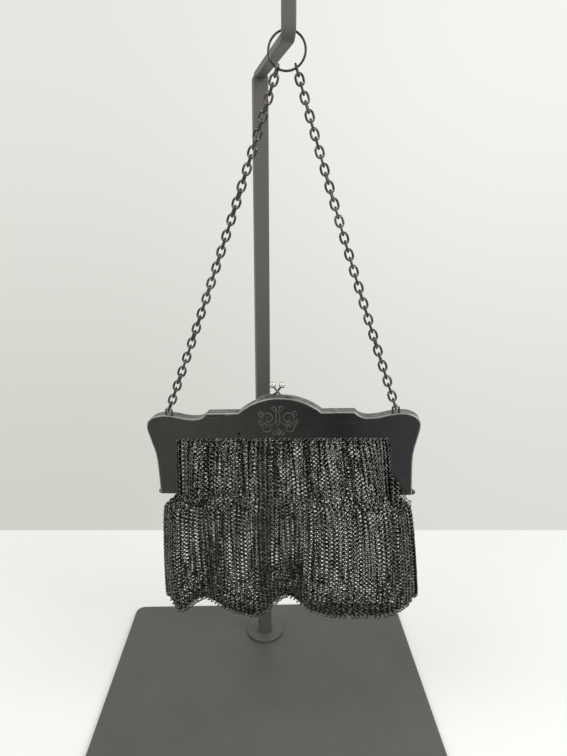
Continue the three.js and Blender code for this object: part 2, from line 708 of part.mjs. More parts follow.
const purse = new THREE.Group();
purse.rotation.y = -THREE.MathUtils.degToRad(HANG_TILT);
purse.position.copy(hung(0, 0, 0));
purse.add(
  meshOf('front_jaw', frontJaw(), 'jaw'),
  meshOf('back_jaw', backJaw(), 'jaw'),
  meshOf('hinge_pin_left', hingePin(-1), 'pin'),
  meshOf('hinge_pin_right', hingePin(1), 'pin'),
  meshOf('chain_loop_left', chainLoop(-1), 'chain'),
  meshOf('chain_loop_right', chainLoop(1), 'chain'),
  meshOf('mesh_bag', meshBag(), 'mesh'),
);
for (const [name, knob] of Object.entries(KNOBS)) purse.add(meshOf(name, claspKnob(knob), 'knob'));

const hanging = new THREE.Group();
hanging.position.set(HANG.x, HANG.y, HANG.z);
hanging.add(purse, meshOf('finger_ring', fingerRing(), 'ring'));
for (const [name, row] of Object.entries(STRANDS)) hanging.add(meshOf(name, strand(row), 'chain'));

const group = new THREE.Group();
group.add(
  hanging,
  meshOf('stand_plate', standPlate(), 'stand'),
  meshOf('stand_upright', standUpright(), 'stand'),
);

export default group;
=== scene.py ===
# %% [markdown]
# # A ring-mesh purse on its stand
#
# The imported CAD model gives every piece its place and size. This script dresses it: smooth
# pressed jaws, a polished kiss lock, a chain of oval links and a bag of about ten thousand small
# rings. Every new piece is a surface that numpy works out as whole arrays, in millimetres, and
# that goes into a mesh in metres. The frame is loaded first, because all places come from it.

# %% The frame and the size of the CAD model
import math

import bpy
import numpy as np
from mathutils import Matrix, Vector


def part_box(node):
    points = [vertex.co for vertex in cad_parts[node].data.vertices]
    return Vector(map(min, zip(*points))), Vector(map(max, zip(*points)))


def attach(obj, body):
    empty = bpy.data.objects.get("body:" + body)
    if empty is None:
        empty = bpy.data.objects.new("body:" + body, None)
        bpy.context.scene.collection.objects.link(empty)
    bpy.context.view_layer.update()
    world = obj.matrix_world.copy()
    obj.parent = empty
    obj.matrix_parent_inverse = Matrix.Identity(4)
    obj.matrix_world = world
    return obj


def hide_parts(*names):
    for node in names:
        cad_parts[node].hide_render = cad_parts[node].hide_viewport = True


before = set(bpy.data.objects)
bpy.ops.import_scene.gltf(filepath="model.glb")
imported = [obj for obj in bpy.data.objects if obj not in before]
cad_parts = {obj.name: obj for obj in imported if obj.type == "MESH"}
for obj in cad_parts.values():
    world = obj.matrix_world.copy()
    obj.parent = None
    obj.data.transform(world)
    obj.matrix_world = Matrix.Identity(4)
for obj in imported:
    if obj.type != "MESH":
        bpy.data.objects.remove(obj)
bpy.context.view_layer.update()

# %% [markdown]
# The purse hangs by its ring from the arm of the stand and leans a little, its right side up.
# Its pieces are easiest to draw straight, in the purse's own axes, with x across, y to the back
# and z up from the flat steps beside the arch. One function then leans them and carries them to
# the ring. The ring's place is read from the frame, so the purse follows wherever the CAD hangs
# it.

# %% Purse axes to object axes
MM = 0.001
HANG_TILT = math.radians(2.5)
RING_IN_PURSE = np.array([11.9, 0.0, 189.3])


def middle(node):
    """Middle of a CAD node's box, in millimetres."""
    low, high = (np.array(corner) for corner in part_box(node))
    return (low + high) / 2 / MM


RING_MIDDLE = middle("finger_ring")


def hung(points):
    """Leans points of the straight purse about the ring's middle and moves that to its place."""
    x, y, z = np.moveaxis(np.asarray(points, float) - RING_IN_PURSE, -1, 0)
    cos, sin = math.cos(HANG_TILT), math.sin(HANG_TILT)
    return np.stack([x * cos - z * sin, y, x * sin + z * cos], axis=-1) + RING_MIDDLE


def all_hung(parts):
    """The same for several surfaces, each a pair of points and faces."""
    return [(hung(points), faces) for points, faces in parts]


print("The ring's middle is at", np.round(RING_MIDDLE, 2), "mm")

# %% [markdown]
# Almost everything here is one of two shapes: a grid of points joined by quads, or the same
# small surface many times over. A wire, a ball and a turned head are all a round section carried
# along a path, with a radius that may change on the way. So one sweep makes them all, and one
# copy function makes chains and mesh. Blender's curves could sweep a wire as well, but arrays
# also carry a value for every point, such as how worn it is, and stay fast with many rings.

# %% Surfaces from arrays


def unit(vectors):
    """Vectors of length one along the last axis."""
    return vectors / np.linalg.norm(vectors, axis=-1, keepdims=True)


def grid(rows, columns, wrap_rows=False, wrap_columns=False):
    """Quads between the points of a grid; a wrapped side joins its last line to its first."""
    r = np.arange(rows if wrap_rows else rows - 1)[:, None]
    c = np.arange(columns if wrap_columns else columns - 1)[None, :]
    below, right = (r + 1) % rows, (c + 1) % columns
    corners = [r * columns + c, r * columns + right, below * columns + right, below * columns + c]
    return np.stack(corners, axis=-1).reshape(-1, 4)


def outward(points, *faces):
    """A closed surface with its faces out: turned round if the volume of its fans is negative."""
    points = np.asarray(points, float).reshape(-1, 3)
    volume = 0.0
    for group in faces:
        corner = points[group] - points.mean(axis=0)
        for k in range(1, group.shape[1] - 1):
            volume += np.sum(corner[:, 0] * np.cross(corner[:, k], corner[:, k + 1]))
    return points, [group if volume > 0 else group[:, ::-1] for group in faces]


def sweep(path, radius, sides=12, up=(0, 1, 0), loop=False, thickness=None):
    """A round section carried along a path. Its first spoke is the part of `up` square to the
    path and has the radius; the spoke square to both has the thickness, or else the radius."""
    path = np.asarray(path, float)
    ahead = np.roll(path, -1, axis=0) - np.roll(path, 1, axis=0) if loop else np.gradient(path, axis=0)
    ahead = unit(ahead)
    up = np.asarray(up, float)
    spoke = unit(up - np.sum(ahead * up, axis=-1, keepdims=True) * ahead)
    other = np.cross(ahead, spoke)
    wide = np.broadcast_to(radius, len(path))[:, None, None]
    thin = wide if thickness is None else np.broadcast_to(thickness, len(path))[:, None, None]
    turn = np.linspace(0, 2 * np.pi, sides, endpoint=False)[None, :, None]
    points = path[:, None] + wide * np.cos(turn) * spoke[:, None] + thin * np.sin(turn) * other[:, None]
    quads = grid(len(path), sides, loop, True)
    if loop:
        return outward(points, quads)
    end = np.arange(sides)
    return outward(points, quads, np.stack([end[::-1], end + (len(path) - 1) * sides]))


def turned(start, direction, profile, sides=24):
    """A turned shape: each pair of the profile is a height along the axis and a radius there."""
    heights, radii = np.array(profile, float).T
    path = np.asarray(start, float) + heights[:, None] * unit(np.asarray(direction, float))
    up = (0, 1, 0) if abs(direction[1]) < 0.5 else (0, 0, 1)
    return sweep(path, np.maximum(radii, 0.01), sides, up)


def copies(shape, axes, centres):
    """One small surface many times: a point is its centre plus its numbers along three axes."""
    points, faces = shape
    placed = np.einsum("pk,nkd->npd", points, axes) + centres[:, None, :]
    ahead = len(points) * np.arange(len(centres))[:, None, None]
    return placed.reshape(-1, 3), [(group[None] + ahead).reshape(-1, group.shape[1]) for group in faces]


def joined(parts):
    """Several surfaces as one, each with its face numbers moved past the points before it."""
    points, faces, before = [], [], 0
    for some, groups in parts:
        points.append(some)
        faces += [group + before for group in groups]
        before += len(some)
    return np.concatenate(points), faces


# %% [markdown]
# A finished surface becomes one object that sits at the origin with its place in its mesh.
# foreach_set fills the mesh from flat arrays, many times faster than a list of tuples would.
# Values for each point become attributes that the materials read.

# %% A surface as a piece of the purse
ADDED = {}


def piece(name, parts, finish, slot, *nodes, sharp=38, **values):
    """Makes an object of closed surfaces, hangs it from the root and hides the CAD nodes that it
    replaces; the slot is not used.
    """
    points, faces = joined(parts)
    counts = np.concatenate([np.full(len(group), group.shape[1]) for group in faces])
    mesh = bpy.data.meshes.new(name)
    mesh.vertices.add(len(points))
    mesh.vertices.foreach_set("co", (points * MM).astype(np.float32).ravel())
    mesh.loops.add(int(counts.sum()))
    corners = np.concatenate([group.ravel() for group in faces])
    mesh.loops.foreach_set("vertex_index", corners.astype(np.int32))
    mesh.polygons.add(len(counts))
    starts = np.concatenate([[0], np.cumsum(counts)[:-1]])
    mesh.polygons.foreach_set("loop_start", starts.astype(np.int32))
    mesh.update(calc_edges=True)
    for key, value in values.items():
        layer = mesh.attributes.new(key, "FLOAT", "POINT")
        layer.data.foreach_set("value", np.ascontiguousarray(value, np.float32))
    mesh.shade_smooth()
    mesh.set_sharp_from_angle(angle=math.radians(sharp))
    mesh.materials.append(finish)
    thing = bpy.data.objects.new(name, mesh)
    bpy.context.scene.collection.objects.link(thing)
    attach(thing, "root")
    if nodes:
        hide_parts(*nodes)
    ADDED[name] = int((counts - 2).sum())
    print(f"{name}: {len(points)} points, {ADDED[name]} triangles")
    return thing


# %% [markdown]
# ## Finishes
#
# All of the purse's metal is old silver that has gone dark. Three things happen to it in use.
# Tarnish lies in soft drifts and small spots. Edges and whatever is handled are rubbed pale. And
# the flat plates carry fine scratches. Each is a node group, built once and placed in several
# materials with its own values. The groups only put out masks and heights, and the shader stays
# in the material, because an exporter can't read a shader inside a group.

# %% Small helpers for node trees


def node(tree, kind, inputs=None, **settings):
    """Adds a shader node. An input may be a number, a colour or another node's socket."""
    made = tree.nodes.new("ShaderNode" + kind)
    for key, value in settings.items():
        setattr(made, key, value)
    for key, value in (inputs or {}).items():
        if isinstance(value, bpy.types.NodeSocket):
            tree.links.new(value, made.inputs[key])
        else:
            made.inputs[key].default_value = value
    return made


def mixed(tree, factor, first, second):
    """A colour between two colours."""
    made = node(tree, "Mix", {0: factor, 6: first, 7: second}, data_type="RGBA")
    return made.outputs[2]


def sums(tree, operation, first, second=0.0):
    """One step of arithmetic on two values."""
    return node(tree, "Math", {0: first, 1: second}, operation=operation).outputs[0]


def ranged(tree, value, low, high, to_low=0.0, to_high=1.0):
    """A value moved from one range to another, clamped and eased at both ends."""
    inputs = {"Value": value, "From Min": low, "From Max": high, "To Min": to_low, "To Max": to_high}
    return node(tree, "MapRange", inputs, interpolation_type="SMOOTHSTEP").outputs["Result"]


def noise(tree, vector, scale, detail=3.0, roughness=0.55):
    """Smooth random values, about 0 to 1, that change over 1 / scale of the vector."""
    inputs = {"Vector": vector, "Scale": scale, "Detail": detail, "Roughness": roughness}
    return node(tree, "TexNoise", inputs).outputs["Fac"]


def new_group(name, inputs, outputs):
    """An empty node group with named sockets, its input node and its output node."""
    tree = bpy.data.node_groups.new(name, "ShaderNodeTree")
    for label, kind in inputs.items():
        tree.interface.new_socket(name=label, in_out="INPUT", socket_type="NodeSocket" + kind)
    for label in outputs:
        tree.interface.new_socket(name=label, in_out="OUTPUT", socket_type="NodeSocketFloat")
    return tree, tree.nodes.new("NodeGroupInput"), tree.nodes.new("NodeGroupOutput")


# %% Tarnish, rubbing and scratches as groups
tarnish, given, result = new_group(
    "tarnish", {"Vector": "Vector", "Drift Scale": "Float", "Spot Scale": "Float"},
    ["Drift", "Spots", "Height"])
drift = noise(tarnish, given.outputs["Vector"], given.outputs["Drift Scale"], 4.0, 0.6)
spots = noise(tarnish, given.outputs["Vector"], given.outputs["Spot Scale"], 5.0, 0.7)
tarnish.links.new(ranged(tarnish, drift, 0.33, 0.67), result.inputs["Drift"])
tarnish.links.new(ranged(tarnish, spots, 0.56, 0.72), result.inputs["Spots"])
tarnish.links.new(spots, result.inputs["Height"])

# Rubbing: edges and handled places are rubbed pale. On the ring mesh the same mask also paints a
# highlight on the side of each ring that faces out.
rubbing_and_highlight, given, result = new_group(
    "rubbing_and_highlight", {"Vector": "Vector", "Edge": "Float", "Breaks": "Float"}, ["Rubbed"])
ragged = noise(rubbing_and_highlight, given.outputs["Vector"], given.outputs["Breaks"], 5.0, 0.65)
uneven = sums(rubbing_and_highlight, "ADD", given.outputs["Edge"], sums(rubbing_and_highlight, "SUBTRACT", ragged, 0.5))
rubbing_and_highlight.links.new(ranged(rubbing_and_highlight, uneven, 0.28, 0.95), result.inputs["Rubbed"])

scratches, given, result = new_group("scratches", {"Vector": "Vector"}, ["Lines", "Height"])
lines = []
for degrees, fine in ((12, 620.0), (-34, 500.0), (78, 560.0)):
    turn = node(scratches, "Mapping", {
        "Vector": given.outputs["Vector"],
        "Rotation": (0.0, math.radians(degrees), 0.0), "Scale": (0.035, 1.0, 1.0)})
    streak = noise(scratches, turn.outputs["Vector"], fine, 2.0, 0.5)
    lines.append(ranged(scratches, streak, 0.67, 0.78))
marks = sums(scratches, "MAXIMUM", sums(scratches, "MAXIMUM", lines[0], lines[1]), lines[2])
scratches.links.new(marks, result.inputs["Lines"])
scratches.links.new(sums(scratches, "SUBTRACT", 1.0, marks), result.inputs["Height"])
print("Node groups:", [tree.name for tree in (tarnish, rubbing_and_highlight, scratches)])

# %% Starting a material


def new_finish(name, **shader):
    """A material with a Principled shader whose plain values are set on its own sockets."""
    made = bpy.data.materials.new(name)
    made.use_nodes = True
    tree = made.node_tree
    surface = tree.nodes["Principled BSDF"]
    for key, value in shader.items():
        surface.inputs[key.replace("_", " ")].default_value = value
    place = node(tree, "TexCoord").outputs["Object"]
    return made, tree, surface, place


def placed(tree, group, **inputs):
    """One of the shared groups, placed in a material with this material's own values."""
    made = tree.nodes.new("ShaderNodeGroup")
    made.node_tree = group
    for key, value in inputs.items():
        socket = made.inputs[key.replace("_", " ")]
        if isinstance(value, bpy.types.NodeSocket):
            tree.links.new(value, socket)
        else:
            socket.default_value = value
    return made.outputs


def attribute(tree, name):
    """The value that each point of the piece carries under a name."""
    return node(tree, "Attribute", attribute_name=name).outputs["Fac"]


def bumped(tree, surface, height, distance, strength=0.5):
    """Feeds a height, up to a distance in metres, to the shader's normal."""
    bump = node(tree, "Bump", {"Height": height, "Distance": distance, "Strength": strength})
    tree.links.new(bump.outputs["Normal"], surface.inputs["Normal"])


# %% [markdown]
# The jaws are blackened silver with a satin face. Slow gradients paint the lamp's light and
# shade into the plate's colour: painted light makes the left shoulder paler and warmer, painted
# shade makes it darker towards the right, and the right end is a lighter bluish black. Drifts of
# tarnish make the arch a little brown and break the tones up, and the rims are rubbed light grey.

# %% The jaws' metal
PAINTED_LIGHT_SIDE, PAINTED_SHADE_SIDE, RIGHT_END = (RING_MIDDLE[0] + at for at in (-62, 30, 74))
frame_metal, tree, surface, place = new_finish("frame_metal", Metallic=1.0)
across = node(tree, "SeparateXYZ", {"Vector": place}).outputs["X"]
stains = placed(tree, tarnish, Vector=place, Drift_Scale=38.0, Spot_Scale=260.0)
rub_and_highlight = placed(tree, rubbing_and_highlight, Vector=place, Edge=attribute(tree, "worn"), Breaks=330.0)
marks = placed(tree, scratches, Vector=place)
# Painted light and shade: paler on the left shoulder and darker towards the right, as the lamp falls,
# then lighter again at the right end.
side = ranged(tree, across, PAINTED_LIGHT_SIDE * MM, PAINTED_SHADE_SIDE * MM)
plain = mixed(tree, side, (0.054, 0.053, 0.050, 1), (0.021, 0.021, 0.023, 1))
right_end_painted_light = ranged(tree, across, PAINTED_SHADE_SIDE * MM, RIGHT_END * MM)
plain = mixed(tree, right_end_painted_light, plain, (0.037, 0.039, 0.043, 1))
brown = sums(tree, "MULTIPLY", stains["Drift"], 0.5)
plain = mixed(tree, brown, plain, (0.046, 0.039, 0.035, 1))
plain = mixed(tree, sums(tree, "MULTIPLY", stains["Spots"], 0.35), plain, (0.020, 0.019, 0.020, 1))
plain = mixed(tree, sums(tree, "MULTIPLY", marks["Lines"], 0.10), plain, (0.16, 0.16, 0.16, 1))
colour = mixed(tree, rub_and_highlight["Rubbed"], plain, (0.27, 0.27, 0.26, 1))
tree.links.new(colour, surface.inputs["Base Color"])
gloss = ranged(tree, stains["Height"], 0.25, 0.75, 0.33, 0.50)
tree.links.new(gloss, surface.inputs["Roughness"])
bumped(tree, surface, marks["Height"], 0.00001, 0.2)

# %% [markdown]
# The engraved lines catch the light, because the cut is cleaner than the face around it. The
# kiss lock's balls are polished every time a thumb snaps them shut, so they stay the brightest
# metal on the purse, and each ball is darker towards the bottom. Pins and loops are satin.

# %% Engraving, kiss lock and small fittings
cut_metal, tree, surface, place = new_finish("cut_metal", Metallic=1.0)
stains = placed(tree, tarnish, Vector=place, Drift_Scale=140.0, Spot_Scale=900.0)
colour = mixed(tree, stains["Drift"], (0.26, 0.25, 0.235, 1), (0.10, 0.097, 0.09, 1))
tree.links.new(colour, surface.inputs["Base Color"])
tree.links.new(ranged(tree, stains["Height"], 0.3, 0.7, 0.35, 0.5), surface.inputs["Roughness"])

knob_metal, tree, surface, place = new_finish("knob_metal", Metallic=1.0)
stains = placed(tree, tarnish, Vector=place, Drift_Scale=420.0, Spot_Scale=1500.0)
rub_and_highlight = placed(tree, rubbing_and_highlight, Vector=place, Edge=attribute(tree, "worn"), Breaks=600.0)
dull = mixed(tree, stains["Drift"], (0.17, 0.16, 0.15, 1), (0.085, 0.078, 0.072, 1))
bright = mixed(tree, stains["Spots"], (0.58, 0.57, 0.55, 1), (0.33, 0.31, 0.29, 1))
tree.links.new(mixed(tree, rub_and_highlight["Rubbed"], dull, bright), surface.inputs["Base Color"])
tree.links.new(ranged(tree, rub_and_highlight["Rubbed"], 0.0, 1.0, 0.36, 0.13), surface.inputs["Roughness"])

# %% [markdown]
# Each chain link was bent from round wire and soldered. Links rub on each other where they bear,
# so those spots stay bright, and in between they are dark with a warm, slightly pink tarnish
# that differs from link to link. The ring mesh is the same story at a third of the size: a value
# for every ring makes most of them dark grey, some brown and a few bright, and each ring is
# brighter on its outward side, partly rubbed and partly a painted highlight.

# %% Chain, ring and mesh metal


def linked_metal(name, dark, warm, bright, roughness, warm_share, breaks):
    """Dark metal that is warm in some links or rings and bright where they stand out: rubbed, and on the
    mesh also a painted highlight.
    """
    made, tree, surface, place = new_finish(name, Metallic=1.0)
    stains = placed(tree, tarnish, Vector=place, Drift_Scale=55.0, Spot_Scale=breaks)
    rub_and_highlight = placed(tree, rubbing_and_highlight, Vector=place, Edge=attribute(tree, "worn"), Breaks=breaks)
    tint = attribute(tree, "tint")
    share = sums(tree, "ADD", tint, sums(tree, "MULTIPLY", stains["Drift"], 0.5))
    plain = mixed(tree, ranged(tree, share, 1.0 - warm_share, 1.25), dark, warm)
    colour = mixed(tree, rub_and_highlight["Rubbed"], plain, bright)
    tree.links.new(colour, surface.inputs["Base Color"])
    gloss = ranged(tree, stains["Height"], 0.25, 0.75, roughness - 0.07, roughness + 0.10)
    tree.links.new(gloss, surface.inputs["Roughness"])
    return made


chain_metal = linked_metal(
    "chain_metal", dark=(0.048, 0.045, 0.043, 1), warm=(0.095, 0.075, 0.070, 1),
    bright=(0.50, 0.47, 0.45, 1), roughness=0.27, warm_share=0.4, breaks=900.0)
ring_metal = linked_metal(
    "ring_metal", dark=(0.045, 0.044, 0.043, 1), warm=(0.08, 0.07, 0.065, 1),
    bright=(0.30, 0.29, 0.28, 1), roughness=0.32, warm_share=0.3, breaks=500.0)
# On the mesh the bright colour is partly rubbed silver and partly a painted highlight.
mesh_metal = linked_metal(
    "mesh_metal", dark=(0.020, 0.0195, 0.019, 1), warm=(0.038, 0.030, 0.028, 1),
    bright=(0.31, 0.295, 0.28, 1), roughness=0.27, warm_share=0.35, breaks=700.0)

# %% [markdown]
# ## The jaws
#
# Each jaw was pressed from sheet: a flat plate, a rounded edge, and a rim turned back to the
# seam. So it is one cross-section carried round the frame's outline. The outline is an arc for
# the arch, a straight step, and a smooth curve over the shoulder and down the arm.

# %% The frame's outline
ARCH_HALF_WIDTH, ARCH_RISE = 24.3, 8.8
ARM_FOOT = -50.7
SHOULDER = {
    "x": [43, 46, 49.5, 56.5, 63.5, 70.7, 76.2, 79.2, 80, 78.4, 76.0, 75.4],
    "z": [0, -2.4, -3.4, -3.0, -1.5, -1.0, -2.4, -5.0, -9.0, -16, -26, ARM_FOOT],
}


def arch_height(x):
    """Height of the arch's edge: an arc of the circle through its top and its two ends."""
    radius = (ARCH_HALF_WIDTH**2 + ARCH_RISE**2) / (2 * ARCH_RISE)
    return ARCH_RISE - radius + np.sqrt(radius**2 - np.square(x))


def through(knots, steps):
    """A smooth curve through knots: a centripetal Catmull-Rom spline, where each span is a cubic
    whose end slopes weigh the neighbouring spans by the square root of their lengths."""
    knots = np.asarray(knots, float)
    ends = np.concatenate([[2 * knots[0] - knots[1]], knots, [2 * knots[-1] - knots[-2]]])
    span = np.sqrt(np.linalg.norm(np.diff(ends, axis=0), axis=1))[:, None]
    a, b, c, d = ends[:-3], ends[1:-2], ends[2:-1], ends[3:]
    before, here, after = span[:-2], span[1:-1], span[2:]
    leave = here * ((b - a) / before - (c - a) / (before + here) + (c - b) / here)
    reach = here * ((c - b) / here - (d - b) / (here + after) + (d - c) / after)
    t = np.linspace(0, 1, steps, endpoint=False)[:, None, None]
    curve = (b * (1 + 2 * t) * (1 - t) ** 2 + leave * t * (1 - t) ** 2
             + c * t**2 * (3 - 2 * t) - reach * t**2 * (1 - t))
    return np.concatenate([curve.swapaxes(0, 1).reshape(-1, knots.shape[1]), knots[-1:]])


def frame_outline():
    """Outer edge from the left arm's foot over the arch to the right foot, as x and z."""
    x = np.linspace(0, ARCH_HALF_WIDTH, 25)
    arch = np.stack([x, arch_height(x)], axis=1)
    shoulder = through(np.array([SHOULDER["x"], SHOULDER["z"]]).T, 7)
    right = np.concatenate([arch, shoulder])
    return np.concatenate([right[:0:-1] * [-1, 1], right])


def moved_in(line, distance):
    """A line moved to its right by a distance, with its corners mitred."""
    step = np.diff(line, axis=0)
    normal = unit(np.stack([step[:, 1], -step[:, 0]], axis=1))
    before = np.concatenate([normal[:1], normal])
    after = np.concatenate([normal, normal[-1:]])
    both = before + after
    return line + both * (distance / (1 + np.sum(before * after, axis=1, keepdims=True)))


OUTLINE = frame_outline()
print(f"Outline: {len(OUTLINE)} points, {np.ptp(OUTLINE[:, 0]):.1f} mm wide")

# %% [markdown]
# The plate also needs its inner edge, the window where the mesh shows. Every outline point gets
# a partner on the window's edge, so that the cross-section can run from the one to the other.
# Partners are matched by length along both lines, piece by piece: arm to arm, shoulder to corner
# and top to top.

# %% The window's edge, point for point
WINDOW_TOP, WINDOW_HALF_WIDTH, WINDOW_FOOT_HALF_WIDTH, WINDOW_CORNER = -16, 62.5, 64.5, 2


def lengths(line):
    """Length along a line at each of its points."""
    return np.concatenate([[0], np.cumsum(np.linalg.norm(np.diff(line, axis=0), axis=1))])


def window_partners():
    """For each point of the right half of the outline, from the foot up, its window point."""
    outer = OUTLINE[len(OUTLINE) // 2:][::-1]
    turn = np.linspace(0, np.pi / 2, 9)[:, None]
    centre = np.array([WINDOW_HALF_WIDTH - WINDOW_CORNER, WINDOW_TOP - WINDOW_CORNER])
    corner = centre + WINDOW_CORNER * np.concatenate([np.cos(turn), np.sin(turn)], axis=1)
    inner = np.concatenate([[[WINDOW_FOOT_HALF_WIDTH, ARM_FOOT]], corner, [[0, WINDOW_TOP]]])
    along_outer, along_inner = lengths(outer), lengths(inner)
    at_arm = along_outer[np.argmin(np.abs(outer[:, 1] + 17) + (outer[:, 0] < 70) * 99)]
    at_top = along_outer[np.argmin(np.abs(outer[:, 0] - 66))]
    match = np.interp(along_outer, [0, at_arm, at_top, along_outer[-1]],
                      [0, along_inner[1], along_inner[-2], along_inner[-1]])
    found = np.stack([np.interp(match, along_inner, inner[:, k]) for k in (0, 1)], axis=1)
    return np.concatenate([found * [-1, 1], found[-2::-1]])


WINDOW = window_partners()

# %% The cross-section, carried round
# toward: from 0 at the outer edge to 1 at the window. inset: in from the outer edge, in mm.
# depth: from the seam's middle to the front, in mm. worn: how much hands have rubbed it.
SECTION = np.array([
    (1.000, 1.20, 4.30, 0.55), (0.985, 1.20, 4.50, 0.48), (0.93, 1.20, 4.50, 0.12),
    (0.70, 1.20, 4.50, 0.00), (0.40, 1.20, 4.50, 0.00), (0.15, 1.20, 4.50, 0.02),
    (0, 1.60, 4.50, 0.10), (0, 0.80, 4.50, 0.40), (0, 0.45, 4.44, 0.80), (0, 0.18, 4.27, 1.0),
    (0, 0.04, 4.03, 1.0), (0, 0, 3.70, 0.85), (0, 0, 2.70, 0.55), (0, 0, 1.50, 0.50),
    (0, 0, 0.60, 0.70), (0, 0.07, 0.34, 0.80), (0, 0.28, 0.15, 0.40), (0, 0.80, 0.15, 0.0),
    (0, 1.00, 0.32, 0.0), (0, 1.00, 3.30, 0.0), (0, 1.25, 3.60, 0.0), (0.5, 1.20, 3.60, 0.0),
    (0.985, 1.20, 3.60, 0.0), (1.000, 1.20, 3.80, 0.2),
])


def jaw_shell(wall):
    """The jaw on the side that wall gives, -1 front and 1 back: the section at every point of
    the outline, a grid that closes round the section and is capped at both feet."""
    lines = []
    for toward, inset, depth, _ in SECTION:
        flat = moved_in(OUTLINE, inset) * (1 - toward) + WINDOW * toward
        lines.append(np.stack([flat[:, 0], np.full(len(flat), wall * depth), flat[:, 1]], axis=1))
    rows, columns = len(SECTION), len(OUTLINE)
    first = np.arange(rows) * columns
    caps = np.stack([first, (first + columns - 1)[::-1]])
    return outward(np.array(lines), grid(rows, columns, True, False), caps)


front_shell, back_shell = jaw_shell(-1), jaw_shell(1)
print("A jaw's shell has", len(front_shell[0]), "points")

# %% [markdown]
# At the foot of each arm a pin holds the two jaws together. The front jaw has the outer barrel
# and the back jaw the inner one, on an ear. A small round hole goes through the front plate,
# left of the middle, just above the mesh. A boolean cuts it, and the back rim's room for the
# barrel, as a drill and a file would.

# %% Barrels, ears, holes
HINGE_Z, KNUCKLE_RADIUS = -50.8, 1.6
FRONT_BARREL, BACK_BARREL = (74.4, 77.0), (71.5, 74.1)
HOLE = {"x": -24.4, "z": -12.6, "radius": 0.75}


def barrel(side, reach, radius=KNUCKLE_RADIUS):
    """A hinge barrel: a short bar along x with eased edges."""
    long, ease = reach[1] - reach[0], 0.25
    profile = [(0, radius - ease), (ease / 2, radius - ease / 4), (ease, radius),
               (long - ease, radius), (long - ease / 2, radius - ease / 4), (long, radius - ease)]
    return turned((side * reach[0], 0, HINGE_Z), (side, 0, 0), profile, 28)


def ear(side):
    """The strip that carries the back barrel: a flat tongue from the barrel to the plate."""
    x = side * (BACK_BARREL[0] + BACK_BARREL[1]) / 2
    path = np.array([(x, 0.9, HINGE_Z + 0.4), (x, 2.4, HINGE_Z + 0.5), (x, 4.0, HINGE_Z + 1.0)])
    return sweep(through(path, 4), 1.28, 12, (1, 0, 0), thickness=0.75)


def cut(thing, cutters):
    """Takes closed surfaces out of a piece with the Boolean modifier, and keeps the result."""
    points, faces = joined(cutters)
    tool_mesh = bpy.data.meshes.new("cutter")
    corners = [face for group in faces for face in group.tolist()]
    tool_mesh.from_pydata((points * MM).tolist(), [], corners)
    tool = bpy.data.objects.new("cutter", tool_mesh)
    bpy.context.scene.collection.objects.link(tool)
    step = thing.modifiers.new("cut", "BOOLEAN")
    step.operation, step.solver, step.object = "DIFFERENCE", "EXACT", tool
    view = bpy.context.evaluated_depsgraph_get()
    result = bpy.data.meshes.new_from_object(thing.evaluated_get(view))
    thing.modifiers.clear()
    old, thing.data = thing.data, result
    bpy.data.meshes.remove(old)
    bpy.data.objects.remove(tool)
    bpy.data.meshes.remove(tool_mesh)


def jaw(name, node_name, shell, barrels, extras, cutters):
    """A jaw's shell joined with its barrels and extras as one piece, which is then cut."""
    worn = np.concatenate([np.repeat(SECTION[:, 3], len(OUTLINE))]
                          + [np.full(len(part[0]), 0.45) for part in barrels + extras])
    parts = all_hung([shell] + barrels + extras)
    made = piece(name, parts, frame_metal, "frame_metal", node_name, worn=worn)
    cut(made, all_hung(cutters))


drill = turned((HOLE["x"], -6, HOLE["z"]), (0, 1, 0), [(0, HOLE["radius"]), (3, HOLE["radius"])], 24)
free = FRONT_BARREL[0] - 0.3, FRONT_BARREL[1] + 1
room = [barrel(side, free, KNUCKLE_RADIUS + 0.3) for side in (-1, 1)]
jaw("jaw_front", "front_jaw", front_shell, [barrel(s, FRONT_BARREL) for s in (-1, 1)], [], [drill])
jaw("jaw_back", "back_jaw", back_shell, [barrel(s, BACK_BARREL) for s in (-1, 1)],
    [ear(s) for s in (-1, 1)], room)

# %% [markdown]
# Old frames of this kind have an engraved ornament in the middle of the arch. This one gets a
# plain mirrored scroll: two large spirals, two small ones, and a lens-shaped leaf between them.
# Each stroke is a fine thread half sunk into the plate, because a real cut this narrow is finer
# than any mesh the plate could carry.

# %% The engraved scroll
PLATE_FACE = -4.5
SCROLL_MIDDLE = np.array([-1.0, -3.6])
STROKE, STROKE_HEIGHT, FADE_LENGTH = 0.13, 0.035, 1.2


def spiral(x, z, start_radius, end_radius, start, turns):
    """A spiral about a point: the radius shrinks evenly while the angle grows."""
    t = np.linspace(0, 1, int(26 * abs(turns)) + 8)
    radius = start_radius + (end_radius - start_radius) * t
    angle = math.radians(start) + 2 * np.pi * turns * t
    return np.stack([x + radius * np.cos(angle), z + radius * np.sin(angle)], axis=1)


def leaf(x, z, half_length, half_width, lean):
    """A lens: two arcs between the same two tips."""
    t = np.linspace(0, 2 * np.pi, 41)
    along, wide = half_length * np.cos(t), half_width * np.sin(t) * np.abs(np.sin(t)) ** 0.35
    cos, sin = math.cos(math.radians(lean)), math.sin(math.radians(lean))
    return np.stack([x + along * cos - wide * sin, z + along * sin + wide * cos], axis=1)


def stroke(flat):
    """A thread along a flat line on the plate's face, thin at both ends."""
    along = lengths(flat)
    fade = np.clip(np.minimum(along, along[-1] - along) / FADE_LENGTH, 0.25, 1)
    path = np.stack([flat[:, 0], np.full(len(flat), PLATE_FACE), flat[:, 1]], axis=1)
    return sweep(path, STROKE_HEIGHT, 6, (0, 1, 0), thickness=STROKE * fade)


